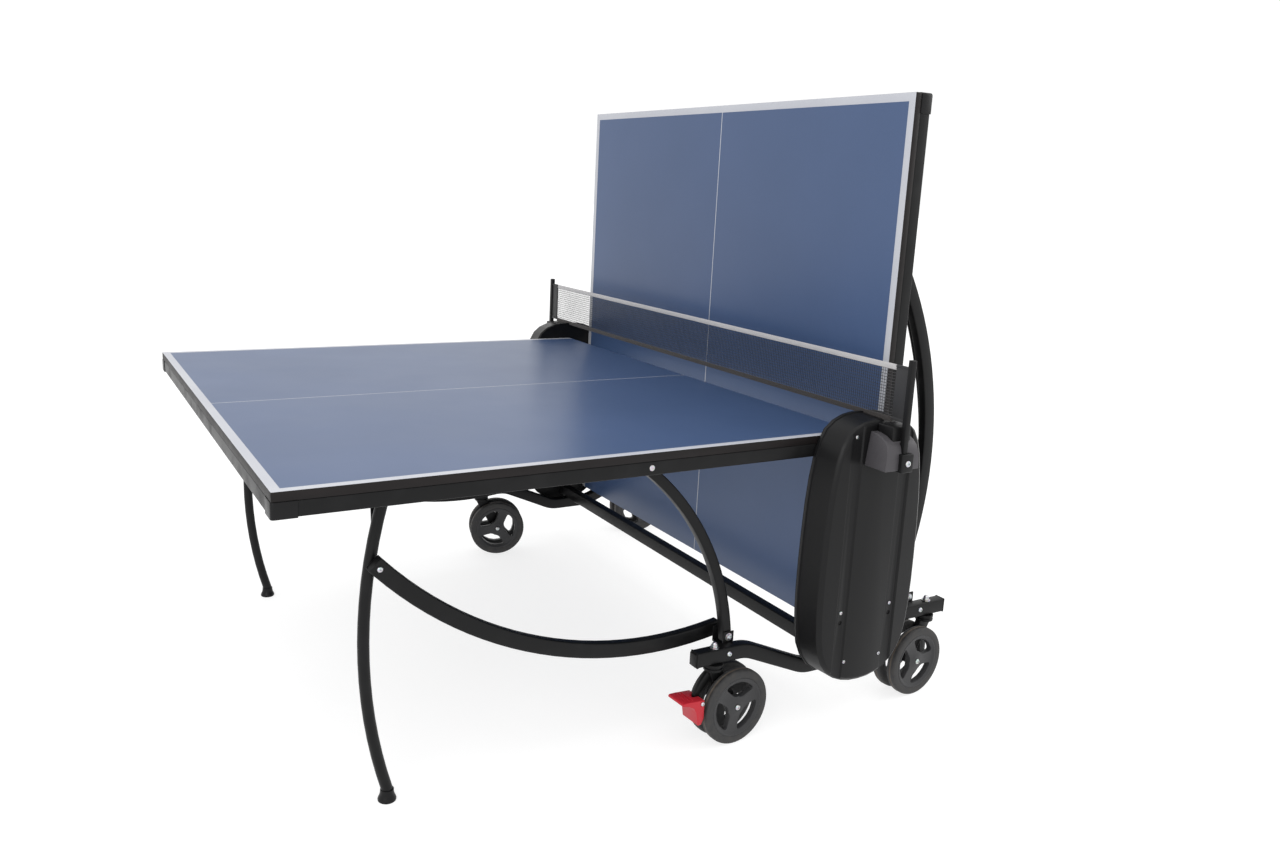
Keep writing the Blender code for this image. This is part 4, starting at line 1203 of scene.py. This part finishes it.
# %% Bracket, clamp and post
APRON = [corner - AT_NET.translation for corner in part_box("net_bracket_near")]
APRON_LINE = [(0.8502, 0.7850), (0.868, 0.7836), (0.886, 0.7792), (0.902, 0.7715), (0.912, 0.7605),
              (0.9172, 0.7450), (0.9190, 0.7270), (0.9192, 0.7040), (0.8502, 0.7040)]
APRON_FOOT, APRON_TALL, APRON_FLARE = 0.704, 0.081, 0.20
POST_Y, POST_FOOT, POST_TOP, FLAG_END, CLAMP_FACE = -0.915, 0.711, 0.960, -0.8686, -0.9305
NET_END, NET_FOOT, NET_TOP = 0.868, 0.818, 0.943


def post_hole(half_x, half_y, foot, top):
    return block("hole", (-half_x, POST_Y - half_y, foot), (half_x, POST_Y + half_y, top))


def net_apron():
    """A curved moulding that flares to its foot, hollow underneath, with a way through for the post."""
    apron = outline_block("apron", APRON_LINE, APRON[0].x, APRON[1].x)
    moved(apron, Matrix.Rotation(-pi / 2, 4, "Z"))
    edit(apron)
    pick_faces(apron, lambda centre, normal: normal.z < -0.99)
    bpy.ops.mesh.inset(thickness=0.0035)
    push_out((0, 0, 0.030))
    fresh_start()
    for vertex in apron.data.vertices:
        vertex.co.x *= 1.0 - APRON_FLARE * max(0.0, (vertex.co.z - APRON_FOOT) / APRON_TALL) ** 1.5
    rounded(apron, 0.0026, 3, 28)
    return clad(cut(apron, post_hole(0.0074, 0.0083, 0.70, 0.80)), GREY_PLASTIC)


def net_clamp():
    """The clamp block, with a square pocket for the post, and the neck above the apron."""
    clamp = plate("clamp", (-0.016, CLAMP_FACE, 0.7005), (0.020, -0.908, 0.744), 0.0025, 3)
    cut(clamp, post_hole(0.0068, 0.0078, 0.7105, 0.78))
    neck = plate("neck", (-0.026, -0.9035, 0.762), (0.030, -0.8535, 0.804), 0.0032, 3)
    cut(neck, post_hole(0.0068, 0.0078, 0.75, 0.83))
    return clad(joined("clamp", [clamp, neck]), BLACK_PLASTIC)


def net_post():
    post = block("post", (-0.0065, POST_Y - 0.0075, POST_FOOT), (0.0065, POST_Y + 0.0075, POST_TOP))
    ease_long_edges(post, 2, 0.1, 0.0022, 3)
    edit(post, "EDGE")
    pick_faces(post, lambda centre, normal: normal.z > 0.99)
    bpy.ops.mesh.bevel(offset=0.0016, segments=3, affect="EDGES")
    fresh_start()
    return clad(post, BLACK_PLASTIC)


def flag_plate():
    """The plate that holds the net's end, with a folded lip along its top and its foot."""
    start, foot = POST_Y + 0.006, NET_FOOT - 0.004
    spans = (("flag", (-0.002, POST_Y + 0.002, foot), (0.002, FLAG_END, NET_TOP)),
             ("lip", (-0.0034, start, NET_TOP - 0.006), (0.0034, FLAG_END + 0.0002, NET_TOP)),
             ("foot", (-0.0034, start, foot), (0.0034, FLAG_END, NET_FOOT + 0.003)))
    return clad(joined("flag", [plate(name, low, high, 0.0009) for name, low, high in spans]), DARK_PLASTIC)


to_both_sides(net_apron(), "net_apron", "net_bracket")
to_both_sides(net_clamp(), "net_clamp")
to_both_sides(net_post(), "post_tube", "net_post")
to_both_sides(flag_plate(), "net_flag")
to_both_sides(hardware(("button", "-y", (0.002, CLAMP_FACE + 0.0002, 0.722), 1.05)), "clamp_screw")

# %% [markdown]
# ## The net
# A net is a sheet of knotted cord with square meshes of about 7 mm, a folded cotton tape along
# its top and a bound hem at its foot.  A grid gives the meshes, a few slow waves stand in for
# the slack of hand-tied cord, and the Wireframe modifier turns the grid's edges into cord.

# %% Net, tape and hem
MESH_PITCH, CORD, TAPE_DROP = 0.0070, 0.0013, 0.013
CORD_TOP = NET_TOP - 0.006


def bend_to_wave(piece):
    """Bend a piece with the net's waves, and set it in the net plane."""
    for vertex in piece.data.vertices:
        vertex.co.x += net_wave(vertex.co.y, vertex.co.z)
    return moved(piece, AT_NET)


def net_wave(y, z):
    """How far the cord stands out of the net plane: most half way down, nothing at the ends."""
    depth = 4 * (z - NET_FOOT) * (NET_TOP - z) / (NET_TOP - NET_FOOT) ** 2
    hold = min(1.0, (NET_END - abs(y)) / 0.05)
    return 0.0016 * max(0.0, depth) * max(0.0, hold) * (sin(9.0 * y + 0.6) + 0.6 * sin(23.0 * y + 2.0))


def net_cord():
    across, down = round(2 * NET_END / MESH_PITCH), round((CORD_TOP - NET_FOOT) / MESH_PITCH)
    fresh_start()
    bpy.ops.mesh.primitive_grid_add(x_subdivisions=across, y_subdivisions=down, size=1)
    net = bpy.context.object
    net.scale = (2 * NET_END - 0.001, CORD_TOP - NET_FOOT + 0.001, 1)
    net.rotation_euler = (pi / 2, 0, pi / 2)
    net.location = (0, 0, (CORD_TOP + NET_FOOT - 0.001) / 2)
    net = bend_to_wave(settle("strand_net"))
    return clad(apply_modifier(net, "WIREFRAME", thickness=CORD, use_boundary=True), NET_CORD)


def bound_edge(name, low_z, high_z, thick, finish):
    """A folded strip along the whole net, with soft edges."""
    strip = block(name, (-thick / 2, 0.0005 - NET_END, low_z), (thick / 2, NET_END - 0.0005, high_z))
    ease_long_edges(strip, 1, 0.5, 0.45 * thick, 3)
    edit(strip, "EDGE")
    for step in range(1, 24):
        pick_all()
        bpy.ops.mesh.bisect(plane_co=(0, NET_END * (step / 12 - 1), 0), plane_no=(0, 1, 0))
    fresh_start()
    return clad(bend_to_wave(strip), finish)


def net_area(piece):
    """Half of the cord's surface: what the cord would cover if it were cut open and laid flat."""
    return sum(face.area for face in piece.data.polygons) / 2


strands = set_in(net_cord(), "undercarriage", ["net"])
tape, hem = (set_in(bound_edge(*strip), "undercarriage")
             for strip in (("net_tape", NET_TOP - TAPE_DROP, NET_TOP, 0.0026, NET_TAPE),
                           ("net_hem", NET_FOOT - 0.011, NET_FOOT + 0.002, 0.0030, NET_HEM)))
print("net cord", round(net_area(strands), 4), "square metres,", len(strands.data.polygons), "faces")
for model in HARDWARE.values():
    bpy.data.objects.remove(model)
print("net set in place")

# %% [markdown]
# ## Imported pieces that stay
# The cross tubes, the guide plates and the slide shafts are right as they come, so they keep
# their own meshes and only take a finish.

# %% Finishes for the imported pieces
SLOT_OF = {row["node"]: row["material_slot"] for row in record["subparts"]}
for name, node in frame["nodes"].items():
    if name not in REPLACED:
        for slot in node.material_slots:
            slot.material = MATERIAL_OF[SLOT_OF[name]]
print("kept", sorted(set(frame["nodes"]) - REPLACED))
